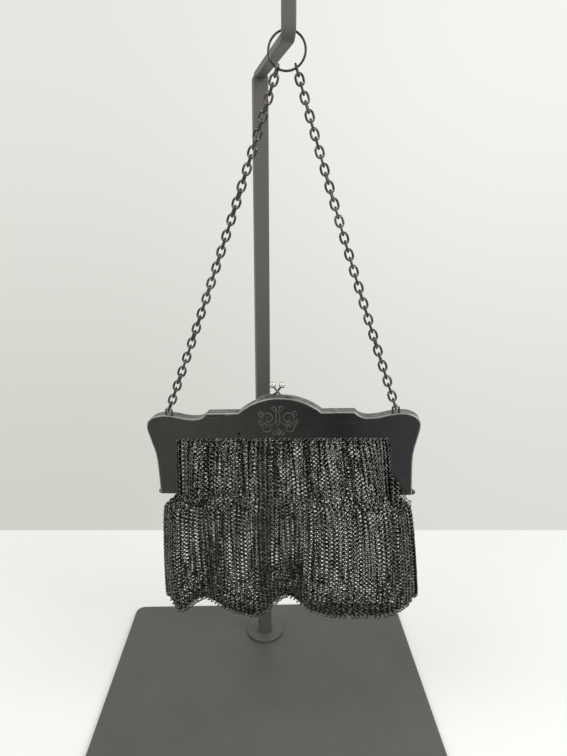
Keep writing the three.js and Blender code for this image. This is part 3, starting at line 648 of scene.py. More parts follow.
half = [
    spiral(5.6, 0.4, 4.7, 0.7, 200, 1.7), spiral(6.4, -5.6, 3.6, 0.6, 130, -1.5),
    spiral(9.6, 3.0, 1.9, 0.4, 250, 1.3), spiral(2.3, 6.2, 1.8, 0.4, 280, -1.2),
    spiral(2.6, -8.6, 1.7, 0.4, 60, 1.2), leaf(10.6, -2.2, 2.2, 0.55, 68),
]
strokes = [flat * [side, 1] + SCROLL_MIDDLE for side in (-1, 1) for flat in half]
strokes += [leaf(0, 0.6, 4.6, 1.1, 90) + SCROLL_MIDDLE, leaf(0, -7.6, 2.3, 0.7, 90) + SCROLL_MIDDLE]
piece("plate_scroll", all_hung(map(stroke, strokes)), cut_metal, "frame_metal")

# %% [markdown]
# ## The kiss lock, pins and loops
#
# Each jaw carries a ball on a stem that bends over from a lens-shaped foot, riveted to the rim.
# Closing the purse makes the two balls snap past each other. The ball is a turned shape, the
# stem a swept wire and the foot a flat section that swells along the arch.

# %% The kiss lock
BALL_RADIUS, STEM_RADIUS, KNOB_Y, RIM = 1.9, 0.62, 2.1, 1.0
RIVET = [(0, 1.0), (0.15, 1.2), (0.5, 1.2), (0.55, 0.6), (2.8, 0.6), (2.85, 0.8), (3.1, 0.45)]
KNOBS = {
    "front": {"ball": (-3.7, 15.5), "stem": (1.2, -1.0), "foot": (0.3, 9.3), "side": -1},
    "back": {"ball": (1.8, 15.4), "stem": (-3.3, 1.0), "foot": (-14.2, -2.4), "side": 1},
}


def round_ball(x, y, z, radius):
    """A ball: heights and radii round half a circle, turned about the vertical."""
    t = np.linspace(0.05, np.pi - 0.05, 25)
    return turned((x, y, z), (0, 0, 1), np.stack([-radius * np.cos(t), radius * np.sin(t)], axis=1), 40)


def knob(name, ball, stem, foot, side):
    """Foot, rivet, stem and ball of one half of the lock."""
    y = side * KNOB_Y
    t = np.linspace(0, 1, 25)
    x = foot[0] + (foot[1] - foot[0]) * t
    swell = np.sqrt(np.clip(np.sin(np.pi * t), 0.02, 1))
    along = np.stack([x, np.full(25, y), arch_height(x) + 0.3 + 0.40], axis=1)
    base = float(arch_height(stem[0])) + 0.7
    bend = through(np.array([
        (stem[0], y, base), (stem[0] * 0.7 + ball[0] * 0.3, stem[1], base + 1.3),
        (ball[0], stem[1] * 0.3, ball[1])]), 10)
    heart = (foot[0] + foot[1]) / 2
    top = float(arch_height(heart))
    parts = [
        sweep(along, 1.1 * swell, 16, (0, 1, 0), thickness=0.42 * swell),
        turned((heart, y, top - RIM - 1.1), (0, 0, 1), RIVET, 20),
        sweep(bend, np.linspace(0.68, STEM_RADIUS, len(bend)), 16, (0, 1, 0)),
        round_ball(ball[0], 0.0, ball[1], BALL_RADIUS),
    ]
    worn = [np.full(len(part[0]), much) for part, much in zip(parts, (0.35, 0.4, 0.25))]
    # Each ball is brighter towards the top and darker towards the bottom.
    worn.append(0.85 + 0.3 * (parts[3][0][:, 2] - ball[1]) / BALL_RADIUS)
    piece(name, all_hung(parts), knob_metal, "knob_metal", "clasp_" + name, worn=np.concatenate(worn))


for key, row in KNOBS.items():
    knob("knob_" + key, **row)

# %% Hinge pins and chain loops
LOOP_X, LOOP_Y, LOOP_TOP, LOOP_UNDER, LOOP_RADIUS, LOOP_WIRE = 66.2, -2.3, 3.0, -2.9, 1.75, 0.6
LOOP_HEAD = [(0, 0.9), (0.15, 1.2), (0.45, 1.2), (0.6, 0.7)]
LOOP_COLLAR = [(0, 0.95), (0.25, 1.0), (0.5, 0.62)]
PIN_RADIUS, PIN_HEAD = 0.6, 1.1


def pin(side):
    """A pin through both barrels, with a domed head at each end."""
    inner, outer = BACK_BARREL[0] - 0.3, FRONT_BARREL[1] + 0.3
    long = outer - inner
    profile = [(-0.45, 0.4), (-0.38, 0.8), (-0.15, PIN_HEAD), (0, PIN_HEAD), (0.02, PIN_RADIUS),
               (long - 0.02, PIN_RADIUS), (long, PIN_HEAD), (long + 0.15, PIN_HEAD),
               (long + 0.38, 0.8), (long + 0.45, 0.4)]
    return turned((side * inner, 0, HINGE_Z), (side, 0, 0), profile, 24)


def staple(side):
    """A chain loop: up one leg, half a circle over and down the other, clinched below."""
    x, springing = side * LOOP_X, LOOP_TOP - LOOP_RADIUS
    turn = np.linspace(np.pi, 0, 21)
    bend = np.stack([x + LOOP_RADIUS * np.cos(turn), np.full(21, LOOP_Y),
                     springing + LOOP_RADIUS * np.sin(turn)], axis=1)
    leg = np.array([(x - LOOP_RADIUS, LOOP_Y, z) for z in np.linspace(LOOP_UNDER, springing, 5)[:-1]])
    path = np.concatenate([leg, bend, (leg * [-1, 1, 1] + [2 * x, 0, 0])[::-1]])
    both = x - LOOP_RADIUS, x + LOOP_RADIUS
    rims = [np.interp(abs(leg_x), SHOULDER["x"][:6], SHOULDER["z"][:6]) for leg_x in both]
    heads = [turned((leg_x, LOOP_Y, LOOP_UNDER - 0.5), (0, 0, 1), LOOP_HEAD, 16) for leg_x in both]
    collars = [turned((leg_x, LOOP_Y, rim - 0.1), (0, 0, 1), LOOP_COLLAR, 16)
               for leg_x, rim in zip(both, rims)]
    return [sweep(path, LOOP_WIRE, 14, (0, 1, 0))] + heads + collars


for side, word in ((-1, "left"), (1, "right")):
    shell = pin(side)
    piece("pin_" + word, all_hung([shell]), knob_metal, "pin_metal", "hinge_pin_" + word,
          worn=np.full(len(shell[0]), 0.42))
    parts = all_hung(staple(side))
    high = np.concatenate([points[:, 2] for points, _ in parts])
    piece("loop_" + word, parts, chain_metal, "chain_metal", "chain_loop_" + word,
          worn=0.25 + 0.35 * (high > high.max() - 1.2), tint=np.full(len(high), 0.6))

# %% [markdown]
# ## The chain and its ring
#
# The strands are cable chain: oval links, each turned a quarter against the next, so that one
# faces the front and the next is seen edge-on. One link is a swept oval. Its copies follow a
# line from ring to loop that sags a little, and each has a small turn of its own, because real
# links never lie quite square.

# %% One link and the finger ring
LINK_HALF_WIDTH, LINK_STRETCH, LINK_WIRE = 1.95, 0.97, 0.65
RING_RADIUS, RING_WIRE = 9.5, 0.6


def oval_link(around=32, sides=12):
    """A link in the plane of x and z: a circle whose two halves are drawn apart along z."""
    turn = np.linspace(0, 2 * np.pi, around, endpoint=False)
    z = LINK_HALF_WIDTH * np.sin(turn) + LINK_STRETCH * np.tanh(2.6 * np.sin(turn)) / math.tanh(2.6)
    path = np.stack([LINK_HALF_WIDTH * np.cos(turn), np.zeros(around), z], axis=1)
    return sweep(path, LINK_WIRE, sides, (0, 1, 0), loop=True)


LINK = oval_link()
turn = np.linspace(0, 2 * np.pi, 112, endpoint=False)
circle = np.stack([RING_RADIUS * np.cos(turn), 0.12 * np.sin(2 * turn + 1),
                   RING_RADIUS * np.sin(turn)], axis=1)
hoop = sweep(circle + RING_MIDDLE, RING_WIRE, 16, (0, 1, 0), loop=True)
away = np.linalg.norm(hoop[0] - RING_MIDDLE, axis=1) - RING_RADIUS
piece("carrying_ring", [hoop], ring_metal, "ring_metal", "finger_ring",
      worn=0.25 + 0.35 * np.clip(-away / RING_WIRE, 0, 1), tint=np.full(len(hoop[0]), 0.5))

# %% The two strands
RING_BEARING = math.radians(31)
CHAIN_SAG, CHAIN_PLAY, LINK_END, CAD_WIRE = 1.0, 0.45, 2.925, 0.72
LINK_BEARING = 2.9
chance = np.random.default_rng(1905)


def strand(word, side, links):
    """Links at even steps from the ring to a loop. Their line sags inwards as 4 t (1 - t), and
    every second link is turned a quarter about it."""
    bearing = np.array([side * math.sin(RING_BEARING), 0, -math.cos(RING_BEARING)])
    top = RING_MIDDLE + RING_RADIUS * bearing
    bottom = hung([side * LOOP_X, LOOP_Y, LOOP_TOP - LOOP_RADIUS])
    along = unit(bottom - top)
    bottom = bottom - LOOP_RADIUS * along
    reach = LINK_END - CAD_WIRE - CHAIN_PLAY
    top, bottom = top + (reach - RING_WIRE) * along, bottom + (LOOP_WIRE - reach) * along
    inward = np.array([-side, 0, 0]) - np.dot([-side, 0, 0], along) * along

    def at(t):
        t = np.clip(t, 0, 1)[:, None]
        return top * (1 - t) + bottom * t + 4 * CHAIN_SAG * t * (1 - t) * unit(inward)

    t = np.linspace(0, 1, links)
    way = unit(at(t + 0.01) - at(t - 0.01))
    deep = unit(np.array([0, 1, 0]) - way[:, 1:2] * way)
    across = np.cross(deep, way)
    quarter = np.where(np.arange(links) % 2 == 0, np.pi / 2, 0) + chance.normal(0, 0.10, links)
    cos, sin = np.cos(quarter)[:, None], np.sin(quarter)[:, None]
    axes = np.stack([across * cos + deep * sin, deep * cos - across * sin, way], axis=1)
    points, faces = copies(LINK, axes, at(t))
    end = np.abs(LINK[0][:, 2])
    inside = np.hypot(LINK[0][:, 0], LINK[0][:, 2]) < LINK_HALF_WIDTH + 0.9
    worn = np.tile(0.18 + 0.55 * ((end > 2.0) & (end < LINK_BEARING) & inside), links)
    tint = np.repeat(chance.random(links), len(LINK[0]))
    piece("strand_" + word, [(points, faces)], chain_metal, "chain_metal", "chain_" + word,
          sharp=60, worn=worn, tint=tint)
    print(f"  {word}: {links} links, {np.linalg.norm(bottom - top):.0f} mm long, "
          f"pitch {np.linalg.norm(bottom - top) / (links - 1):.2f} mm")


strand("left", -1, 43)
strand("right", 1, 41)

# %% [markdown]
# ## The ring mesh
#
# The bag is ring mesh, where each round ring passes through four others. The rings stand in
# columns down the bag, and every second column hangs half a ring lower, so that neighbours can
# pass through each other. A rule sets them all and none is linked by hand, so in places they cut
# into each other a little. A bump map would have no holes to see through, so every ring is there,
# with few faces, in joined meshes. Where each ring sits comes from the same surface that the CAD
# bag was drawn from.

# %% The bag's surface
LEVELS = {   # down from the steps, at which the bag has these sizes in mm; tuck is where it lies flat
    "down": [12.5, 15.5, 19, 26, 52, 62, 86, 112, 133],
    "half_width": [63.0, 63.2, 63.6, 64.4, 66.0, 74.8, 77.4, 79.0, 79.6],
    "edge_depth": [3.3, 3.3, 3.3, 3.3, 3.3, 3.2, 3.2, 3.0, 2.6],
    "bulge": [0.0, 0.2, 2.9, 4.8, 6.6, 7.0, 6.4, 4.4, 0.8],
    "tuck": [60, 60, 60, 60, 61, 74, 76, 78, 79],
    "sway": [0, 0, 0, 0, 0, 0.2, 0.5, 0.8, 1.0],
    "pleat": [0.4, 1.6, 4.4, 5.2, 4.2, 3.4, 2.4, 1.6, 0.2],
    "pleat_width": [1.3, 1.3, 1.4, 1.8, 3.2, 4.2, 5.5, 6.0, 6.0],
    "ridges": [0.1, 0.2, 0.4, 0.5, 0.6, 0.7, 0.8, 0.8, 0.2],
}
HEM = {   # across the hem: how far its waves go back and how far they lift it
    "at": [-80, -71, -57, -38, -21, -1, 15, 34, 58, 72, 80],
    "back": [1, -3, 7, -2, -6, 9, -1, -5, -4, 0, 4],
    "rise": [7, 0, 2.5, 1, 0, 4.5, 1, 0.4, 0.6, 3.5, 9],
}
PLEATS = {-1: [-47, -25.7, -5, 15.6, 39], 1: [-42, -20, 3, 24, 46]}
WIDEST, MOUTH, TUCK_SOFTNESS, RING_INSIDE = 79.6, 66.0, 9.0, 0.9


def smooth(at, table, key, column):
    """A value between the rows of a table: a cubic in each span, its slope at a row the harmonic
    mean of the slopes on both sides, or none where they differ in sign, so it never overshoots."""
    places, values = np.array(table[key], float), np.array(table[column], float)
    secant = np.diff(values) / np.diff(places)
    product = np.maximum(secant[1:] * secant[:-1], 0)
    slope = np.zeros(len(values))
    slope[1:-1] = np.where(product > 0, 2 * product / (secant[1:] + secant[:-1] + (product == 0)), 0)
    i = np.clip(np.searchsorted(places, at) - 1, 0, len(places) - 2)
    span = places[i + 1] - places[i]
    t = np.clip((at - places[i]) / span, 0, 1)
    return (values[i] * (1 + 2 * t) * (1 - t) ** 2 + slope[i] * span * t * (1 - t) ** 2
            + values[i + 1] * t**2 * (3 - 2 * t) - slope[i + 1] * span * t**2 * (1 - t))


def bag_point(u, down, wall):
    """A place in the bag's wall, -1 front and 1 back. u runs from -1 to 1 across. The wall rises
    from its tucked edges by the bulge, less a bell-shaped hollow for each pleat and with small
    upright ridges, and the hem's waves carry both walls back together, more the lower they are."""
    level = {name: smooth(down, LEVELS, "down", name) for name in LEVELS if name != "down"}
    x = u * (level["half_width"] - RING_INSIDE)
    t = np.clip((level["tuck"] - np.abs(x)) / TUCK_SOFTNESS, 0, 1)
    rise = t * t * (3 - 2 * t)
    folds = sum(np.exp(-(((u * MOUTH - p) / level["pleat_width"]) ** 2)) for p in PLEATS[wall])
    small = np.sin(u * 74 + 1.7 * np.sin(u * 23 + wall)) * np.cos(u * 9 + down * 0.02)
    bulge = level["bulge"] - level["pleat"] * folds + level["ridges"] * small
    depth = level["edge_depth"] - RING_INSIDE + rise * bulge
    back = level["sway"] * smooth(u * WIDEST, HEM, "at", "back")
    lift = level["sway"] ** 4 * smooth(u * WIDEST, HEM, "at", "rise")
    return np.stack(np.broadcast_arrays(x, back + wall * depth, lift - down), axis=-1)


# %% [markdown]
# Every column runs from the mouth to the hem, and a ring can't stretch. So where a pleat folds
# the mesh inwards, more columns have to fit into the same width. That is how real folds get their
# dark, crowded look. At every level the columns are spread by length along the folded wall. The
# mesh also hangs a little more open in some places than in others, so a short table gives the
# gap between columns that the mesh would like to have. Where the holes of both walls line up,
# light comes through, and where they don't, or where the upright stands behind, the bag is dark.

# %% Where the columns stand
GAPS = {
    "at": [-80, -66, -50, -30, -14, 4, 18, 43, 62, 80],
    "gap": [1.35, 1.5, 1.38, 1.42, 1.3, 1.5, 1.38, 1.56, 1.42, 1.35],
}
PITCH, FIRST_RING, ROWS = 2.65, 14.0, 44
HALF_ROWS = FIRST_RING + np.arange(2 * ROWS) * PITCH / 2


def wanted_gap(u, down):
    """The gap that the mesh would like. Between the arms, above their feet, the bag is narrower,
    and it is the outer columns that crowd together, so the inner ones can hang straight."""
    low = np.clip((down - ARMS_END) / 16, 0, 1)
    outer = np.clip((np.abs(u) - 0.68) / 0.22, 0, 1)
    crowded = (1 - low * low * (3 - 2 * low)) * outer * outer * (3 - 2 * outer)
    return smooth(u * WIDEST, GAPS, "at", "gap") * (1 - CROWDING * crowded)


def column_places(wall, columns):
    """For each half row, the u of every column and the gap there: the columns divide the wall's
    length, weighed by one over the gap that the mesh would like."""
    u, down = np.linspace(-1, 1, 1601)[None], HALF_ROWS[:, None]
    wanted = wanted_gap(u, down)
    steps = np.linalg.norm(np.diff(bag_point(u, down, wall), axis=1), axis=2)
    count = np.cumsum(steps * 2 / (wanted[:, 1:] + wanted[:, :-1]), axis=1)
    count = np.concatenate([np.zeros((len(count), 1)), count], axis=1)
    stretch = count[:, -1:] / columns
    at = np.arange(columns) + 0.5
    found = np.array([np.interp(at, row / row[-1] * columns, u[0]) for row in count])
    print("  stretch from mouth to hem:", np.round(stretch[::12, 0], 2).tolist())
    return found, wanted_gap(found, down) * stretch


COLUMNS, ARMS_END, CROWDING = 112, 48, 0.26
COLUMN_U, COLUMN_GAP = {}, {}
for wall in (-1, 1):
    COLUMN_U[wall], COLUMN_GAP[wall] = column_places(wall, COLUMNS)
    low, high = COLUMN_GAP[wall].min(), COLUMN_GAP[wall].max()
    print(f"Wall {wall}: {COLUMNS} columns, gaps {low:.2f} to {high:.2f} mm")

# %% [markdown]
# A ring in the mesh is never flat. All of them lean, like tiles on a roof, and the columns take
# turns: in one the rings turn their right side forward, in the next their left side. Lean and turn
# together make every ring a slanting oval, up to the right and up to the left by turns, which is
# the herringbone look of such mesh. Where the columns stand close the rings turn further, and
# where they stand apart the rings open and light comes through, so the turn follows from the gap.

# %% Rings on the surface
MESH_RADIUS, MESH_WIRE = 1.36, 0.34     # a square section this wide looks like a 0.6 mm wire
FLAT_GAP, LEAN = 1.62, math.radians(27)


def small_ring(around, sides=4, radius=MESH_RADIUS):
    """One mesh ring: a thin wire on a circle in the plane of x and z."""
    turn = np.linspace(0, 2 * np.pi, around, endpoint=False)
    path = radius * np.stack([np.cos(turn), 0 * turn, np.sin(turn)], axis=1)
    return sweep(path, MESH_WIRE, sides, (0, 1, 0), loop=True)


def axes_of(across, downward, twist, lean):
    """Three axes for each ring: x across the wall turned by the twist, z down it leant out of it."""
    across = unit(across)
    downward = unit(downward - np.sum(downward * across, axis=-1, keepdims=True) * across)
    normal = np.cross(across, downward)
    lean, twist = lean[:, None], twist[:, None]
    x = across * np.cos(twist) + normal * np.sin(twist)
    out = normal * np.cos(twist) - across * np.sin(twist)
    z = downward * np.cos(lean) + out * np.sin(lean)
    return np.stack([x, np.cross(z, x), z], axis=1)


def lay_rings(name, shape, centres, across, downward, twist, outside, loose=1.0):
    """Places rings with small seeded errors and makes them one piece of the bag."""
    n = len(centres)
    twist = twist + chance.normal(0, 0.035 * loose, n)
    axes = axes_of(across, downward, twist, LEAN + chance.normal(0, 0.035 * loose, n))
    centres = centres + chance.normal(0, 0.02 * loose, (n, 3))
    points, faces = copies(shape, axes, centres)
    # Each ring is brighter on the side that faces out: partly rubbing and partly a painted highlight.
    proud = np.sum((points.reshape(n, -1, 3) - centres[:, None]) * outside[:, None], axis=-1)
    brightness = np.clip(chance.normal(0.22, 0.09, n), 0.0, 0.9)[:, None]
    worn = np.clip(brightness + 0.34 * proud, 0, 1)
    tint = np.repeat(chance.random(n), len(shape[0]))
    piece(name, all_hung([(points, faces)]), mesh_metal, "mesh_metal", "mesh_bag",
          sharp=180, worn=worn.ravel(), tint=tint)


def wall_of_rings(wall, first, last, shape, name):
    """The rings of one wall from one column to another, half a pitch lower in every second."""
    column = np.repeat(np.arange(first, last), ROWS)
    odd = column % 2
    half_row = 2 * np.tile(np.arange(ROWS), last - first) + odd
    u, gap = COLUMN_U[wall][half_row, column], COLUMN_GAP[wall][half_row, column]
    down = HALF_ROWS[half_row]
    across = bag_point(u + 0.004, down, wall) - bag_point(u - 0.004, down, wall)
    downward = bag_point(u, down + 0.5, wall) - bag_point(u, down - 0.5, wall)
    outside = unit(wall * np.cross(unit(across), unit(downward)))
    twist = (2 * odd - 1) * np.arccos(np.clip(gap / FLAT_GAP, 0.42, 0.90))
    lay_rings(name, shape, bag_point(u, down, wall), across, downward, twist, outside)


# %% The two walls of the bag
FRONT_RING, BACK_RING = small_ring(10), small_ring(8)
third, half_way = COLUMNS // 3, COLUMNS // 2
wall_of_rings(-1, 0, third, FRONT_RING, "mesh_front_left")
wall_of_rings(-1, third, 2 * third, FRONT_RING, "mesh_front_middle")
wall_of_rings(-1, 2 * third, COLUMNS, FRONT_RING, "mesh_front_right")
wall_of_rings(1, 0, half_way, BACK_RING, "mesh_back_left")
wall_of_rings(1, half_way, COLUMNS, BACK_RING, "mesh_back_right")

# %% [markdown]
# The walls are not seamed: the mesh runs round both side edges and under the hem. A few columns
# close each side. Along the hem two rows of rings stand across the fold, and below them single
# rings hang loose at even steps, the little fringe that edges such a bag.

# %% Side edges
SIDE_COLUMNS, SIDE_TWIST = 3, 0.7


def side_edge(side, name):
    """Columns between the edges of the two walls, at even steps from front to back."""
    column = np.repeat(np.arange(SIDE_COLUMNS), ROWS)
    down = HALF_ROWS[2 * np.tile(np.arange(ROWS), SIDE_COLUMNS) + (column + 1) % 2]
    share = ((column + 1) / (SIDE_COLUMNS + 1))[:, None]
    before, behind = bag_point(side + 0 * down, down, -1), bag_point(side + 0 * down, down, 1)
    swell = np.array([side, 0, 0]) * (4 * share * (1 - share)) * 0.7
    centres = before * (1 - share) + behind * share + swell
    lower = bag_point(side + 0 * down, down + 0.5, -1) - bag_point(side + 0 * down, down - 0.5, -1)
    outside = np.tile([float(side), 0, 0], (len(down), 1))
    twist = SIDE_TWIST * ((column + 1) % 2 * 2 - 1)
    lay_rings(name, BACK_RING, centres, behind - before, lower, twist, outside)


side_edge(-1, "mesh_side_left")
side_edge(1, "mesh_side_right")

# %% The hem and its hanging rings
HEM_DOWN, HANGING_DROP, HANGING_GAP = 131.0, 2.3, 2.75


def hem():
    """Two rows of rings across the fold, and below them one loose ring at every even step."""
    u = np.repeat(np.linspace(-0.995, 0.995, COLUMNS + 8), 2)
    down = HEM_DOWN + np.tile([0.0, -1.3], len(u) // 2)
    fold = (bag_point(u, down, -1) + bag_point(u, down, 1)) / 2
    deep = bag_point(u, down, 1) - bag_point(u, down, -1)
    below = np.tile([0.0, 0, -1], (len(u), 1))
    outside = np.tile([0.0, -1, 0], (len(u), 1))
    turn = np.where(np.arange(len(u)) // 2 % 2, 0.6, -0.6)
    lay_rings("mesh_hem", small_ring(12, 5, 1.45), fold, deep, below, turn, outside)
    fine = np.linspace(-0.99, 0.99, 1201)
    edge = (bag_point(fine, HEM_DOWN, -1) + bag_point(fine, HEM_DOWN, 1)) / 2
    along = lengths(edge)
    at = np.arange(HANGING_GAP / 2, along[-1], HANGING_GAP)
    loose = np.stack([np.interp(at, along, edge[:, k]) for k in range(3)], axis=1) - [0, 0, HANGING_DROP]
    across = np.tile([0.75, 0.66, 0.0], (len(at), 1))
    lay_rings("mesh_fringe", small_ring(14, 6, 1.25), loose, across, below[:len(at)],
              np.full(len(at), 0.1), outside[:len(at)], loose=5.0)


hem()

# %% [markdown]
# Two small things tie the mesh to the frame. A row of rings is threaded along the window's upper
# edge, so the edge looks beaded. The real plate has a small hole for each of them, while here
# they simply pass through it. On the right the top of the mesh was pushed forward when the purse
# was last shut, and a small corner of it lies on the arm's face.

# %% Rings through the window's edge, and a corner over the arm
PLATE_MIDDLE, EDGE_STEP = -4.05, 2.9


def frontal(n):
    """Directions across and down for rings that face the front."""
    return np.tile([1.0, 0, 0], (n, 1)), np.tile([0.0, 0, -1], (n, 1))


def edge_rings():
    """One ring at every even step along the window's edge, turned to pass through the plate."""
    x = np.arange(-61.0, 61.1, EDGE_STEP)
    x = x + chance.normal(0, 0.12, len(x))
    centres = np.stack([x, 0 * x + PLATE_MIDDLE, 0 * x + WINDOW_TOP - 0.45], axis=1)
    lay_rings("mesh_edge", small_ring(12, 5, 1.25), centres, *frontal(len(x)),
              np.full(len(x), 1.05), np.tile([0.0, -1, 0], (len(x), 1)), loose=3)


def arm_corner():
    """Rings on a flat lattice, kept where they lie below the slanting edge of the corner."""
    i, j = np.meshgrid(np.arange(8), np.arange(16), indexing="ij")
    x, down = 63.8 + 1.42 * i.ravel(), 38.0 + PITCH / 2 * j.ravel()
    keep = ((i + j).ravel() % 2 == 0) & (down > 38 + 1.45 * (x - 63)) & (down < 59)
    x, down, odd = x[keep], down[keep], i.ravel()[keep] % 2
    centres = np.stack([x, np.full(len(x), -5.35) + 0.03 * (down - 38), -down], axis=1)
    lay_rings("mesh_corner", FRONT_RING, centres, *frontal(len(x)), 0.5 * (2 * odd - 1),
              np.tile([0.0, -1, 0], (len(x), 1)), loose=2)


edge_rings()
arm_corner()

# %% [markdown]
# ## The stand
#
# The purse hangs on a plain stand: a steel plate with rounded corners, and a square upright
# whose arm slopes forward through the ring and turns up right in front of it, so that the ring
# rests in the crook. All of it is painted a dark warm grey. The CAD solids have the right shapes
# already but hard edges, so the bars are drawn again from the side, given their width and eased
# by a Bevel modifier, and the plate is a stack of outlines with an eased edge.

# %% The stand's paint
stand_paint, tree, surface, place = new_finish("stand_paint", Metallic=0.0)
dust = placed(tree, tarnish, Vector=place, Drift_Scale=14.0, Spot_Scale=420.0)
specks = ranged(tree, noise(tree, place, 330.0, 2.0), 0.765, 0.80)
base = mixed(tree, dust["Drift"], (0.062, 0.061, 0.054, 1), (0.072, 0.071, 0.063, 1))
colour = mixed(tree, sums(tree, "MULTIPLY", specks, 0.6), base, (0.42, 0.42, 0.40, 1))
tree.links.new(colour, surface.inputs["Base Color"])
tree.links.new(ranged(tree, dust["Height"], 0.3, 0.7, 0.46, 0.58), surface.inputs["Roughness"])
bumped(tree, surface, noise(tree, place, 1400.0, 2.0), 0.00002, 0.25)

# %% The plate
PLATE_SIDE, PLATE_CORNER, PLATE_TURN = 232.0, 7.0, math.radians(7.7)
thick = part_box("stand_plate")[1][2] / MM


def plate_loop(inset, height):
    """The plate's rounded outline at a height, moved in: four quarter circles, turned."""
    quarter = np.linspace(0, np.pi / 2, 9)
    angle = np.concatenate([quarter + k * np.pi / 2 for k in range(4)])
    centre = PLATE_SIDE / 2 - PLATE_CORNER
    x = centre * np.sign(np.cos(np.repeat(np.arange(4), 9) * np.pi / 2 + np.pi / 4))
    y = centre * np.sign(np.sin(np.repeat(np.arange(4), 9) * np.pi / 2 + np.pi / 4))
    x = x + (PLATE_CORNER - inset) * np.cos(angle)
    y = y + (PLATE_CORNER - inset) * np.sin(angle)
    cos, sin = math.cos(PLATE_TURN), math.sin(PLATE_TURN)
    return np.stack([x * cos - y * sin, x * sin + y * cos, np.full(len(x), height)], axis=1)


LOOPS = [(0.5, 0), (0.12, 0.12), (0, 0.5),
         (0, thick - 0.6), (0.18, thick - 0.18), (0.6, thick), (3.0, thick)]
stack = np.array([plate_loop(*row) for row in LOOPS])
rim = np.arange(stack.shape[1])
caps = np.stack([rim[::-1], rim + (len(LOOPS) - 1) * stack.shape[1]])
piece("stand_base", [outward(stack, grid(*stack.shape[:2], False, True), caps)],
      stand_paint, "stand_metal", "stand_plate", sharp=50)

# %% The upright, its foot and its arm
UPRIGHT_SPOT, UPRIGHT_WIDTH = np.array([-1.6, 79.9]), 10.0     # in the plate's own axes
ARM_WIDTH, ARM_HEIGHT, ARM_DROP, ARM_SLOPE = 7.0, 4.5, 1.3, math.radians(5)
TIP_AHEAD, TIP_THICKNESS, TIP_BEND, TIP_ABOVE = 2.2, 5.0, 7.0, 14.0
hang = RING_MIDDLE + [0, 0, RING_RADIUS - RING_WIRE]
cos, sin = math.cos(PLATE_TURN), math.sin(PLATE_TURN)
foot = np.array([[cos, -sin], [sin, cos]]) @ UPRIGHT_SPOT
reach = float(np.hypot(*(hang[:2] - foot)))
bearing = math.atan2(hang[0] - foot[0], foot[1] - hang[1])
seat = thick + 0.3


def stood(points):
    """From the upright's own axes, its arm along -Y, to its place on the plate."""
    x, y, z = np.moveaxis(np.asarray(points, float), -1, 0)
    cos, sin = math.cos(bearing), math.sin(bearing)
    return np.stack([x * cos - y * sin + foot[0], x * sin + y * cos + foot[1], z], axis=-1)


def flat_bar(side, width):
    """A bar from its outline seen from the side, as distances ahead and heights: the outline
    twice, a width apart, with a quad for every edge between them."""
    side, n = np.asarray(side, float), len(side)
    x = np.repeat([-width / 2, width / 2], n)
    points = np.stack([x, np.tile(-side[:, 0], 2), np.tile(side[:, 1], 2)], axis=1)
    edge = np.arange(n)
    return outward(stood(points), grid(2, n, False, True), np.stack([edge[::-1], edge + n]))


def arm_side():
    """The arm slopes straight down to the crook; the tip's outer face comes up in an arc."""
    heights = hang[2] - ARM_DROP, hang[2] - ARM_DROP - ARM_HEIGHT / math.cos(ARM_SLOPE)
    top, under = (lambda x, z=z: z + (reach - x) * math.tan(ARM_SLOPE) for z in heights)
    back, crook, high = -UPRIGHT_WIDTH / 2, reach + TIP_AHEAD, hang[2] + TIP_ABOVE
    face = crook + TIP_THICKNESS
    middle = face - TIP_BEND, under(face - TIP_BEND) + TIP_BEND / math.cos(ARM_SLOPE)
    turn = -np.linspace(0, np.pi / 2 + ARM_SLOPE, 10)
    bend = np.stack([middle[0] + TIP_BEND * np.cos(turn), middle[1] + TIP_BEND * np.sin(turn)], axis=1)
    straight = [(back, under(back)), (back, top(back)), (crook, top(crook)), (crook, high), (face, high)]
    return np.concatenate([straight, bend])


arm = arm_side()
half, high = UPRIGHT_WIDTH / 2, arm[0, 1] + 0.3
bars = [flat_bar([(-half, seat), (-half, high), (half, high), (half, seat)], UPRIGHT_WIDTH),
        flat_bar(arm, ARM_WIDTH)]
upright = piece("stand_bars", bars, stand_paint, "stand_metal", "stand_upright", sharp=50)
ease = upright.modifiers.new("eased edges", "BEVEL")
ease.width, ease.segments, ease.limit_method = 0.6 * MM, 3, "ANGLE"
FOOT = [(0, 14.2), (0.2, 14.5), (1.5, 14.5), (1.85, 14.3), (2, 13.8)]
disc = turned((0, 0, seat), (0, 0, 1), FOOT, 64)
piece("stand_foot", [(stood(disc[0]), disc[1])], stand_paint, "stand_metal", "stand_upright", sharp=50)

# %% [markdown]
# ## Floor, light and camera
#
# The stand is on a pale table in front of an off-white wall. A real wall behind it would hide the
# purse from every camera at the back, so there is only the table top, whose far edge is where the
# table meets the wall, and the world plays the wall: it is off-white and a little brighter up and
# to the right. Polished and satin metal shows only what it reflects, so the light is broad too:
# that pale world and two large soft lamps, a warmer one on the left, a cooler one on the right.
# The picture is shown with the Standard view, which keeps the blacks black and the wall white.

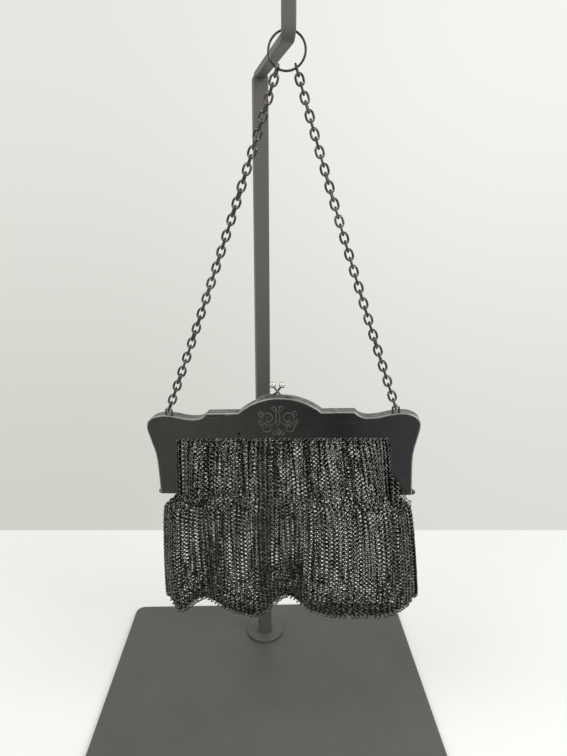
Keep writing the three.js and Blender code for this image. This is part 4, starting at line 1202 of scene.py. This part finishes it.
# %% Table top
table_paint, tree, surface, place = new_finish("table_paint", Roughness=0.85)
surface.inputs["Specular IOR Level"].default_value = 0.25
tone = mixed(tree, noise(tree, place, 2.0, 2.0), (0.71, 0.72, 0.71, 1), (0.75, 0.76, 0.75, 1))
tree.links.new(tone, surface.inputs["Base Color"])
TABLE_END, TABLE_TURN = 257.0, math.radians(6.17)    # its far edge, square to the camera
corners = np.array([[x, y, 0.0] for y in (-2500, TABLE_END) for x in (-2600, 2600)])
cos, sin = math.cos(TABLE_TURN), math.sin(TABLE_TURN)
corners = corners @ np.array([[cos, sin, 0], [-sin, cos, 0], [0, 0, 1]])
table_mesh = bpy.data.meshes.new("table_top")
table_mesh.from_pydata((corners * MM).tolist(), [], [(0, 1, 3, 2)])
table_mesh.materials.append(table_paint)
table_top = bpy.data.objects.new("table_top", table_mesh)
bpy.context.scene.collection.objects.link(table_top)

# %% Lights


def soft_lamp(name, place, aim, size, watts, colour=(1, 1, 1)):
    """A square area lamp that faces a point."""
    light = bpy.data.lights.new(name, "AREA")
    light.shape, light.size, light.energy, light.color = "SQUARE", size, watts, colour
    lamp = bpy.data.objects.new(name, light)
    lamp.location = place
    way = np.array(place) - np.array(aim)
    lamp.rotation_euler = (math.acos(way[2] / np.linalg.norm(way)), 0, math.atan2(way[0], -way[1]))
    bpy.context.scene.collection.objects.link(lamp)
    return lamp


centre = tuple(hung([0, 0, -60]) * MM)
soft_lamp("lamp_left", (-0.75, -0.7, 1.25), centre, 0.9, 7, (1.0, 0.985, 0.96))
soft_lamp("lamp_right", (1.1, -0.5, 1.0), centre, 0.9, 12, (0.97, 0.985, 1.0))
world = bpy.data.worlds.new("pale room")
bpy.context.scene.world = world
world.use_nodes = True
tree = world.node_tree
way = node(tree, "SeparateXYZ", {"Vector": node(tree, "TexCoord").outputs["Generated"]}).outputs
up, side = ranged(tree, way["Z"], -0.48, 0.34), ranged(tree, way["X"], -0.45, 0.30)
left = mixed(tree, up, (0.63, 0.635, 0.585, 1), (0.80, 0.80, 0.755, 1))
right = mixed(tree, up, (0.72, 0.725, 0.68, 1), (0.92, 0.92, 0.875, 1))
tree.links.new(mixed(tree, side, left, right), tree.nodes["Background"].inputs["Color"])
bpy.context.scene.view_settings.view_transform = "Standard"

# %% The camera, where the photo was taken from
CAMERA_FROM_HANG = np.array([32.4, -315.6, -101.8])
view = bpy.data.cameras.new("camera")
view.lens, view.sensor_width, view.sensor_fit = 27.05, 36.0, "AUTO"
view.clip_start = 0.01
camera = bpy.data.objects.new("camera", view)
camera.location = (hang + CAMERA_FROM_HANG) * MM
camera.rotation_euler = (math.radians(90 - 13.66), 0, math.radians(6.17))
bpy.context.scene.collection.objects.link(camera)
bpy.context.scene.camera = camera
print("Camera at", [round(v, 4) for v in camera.location])

# %% [markdown]
# Last come the sums: how much was added.

# %% Sizes and the end
bpy.context.view_layer.update()
print("Triangles added:", sum(ADDED.values()), "the most in one piece:", max(ADDED.values()))
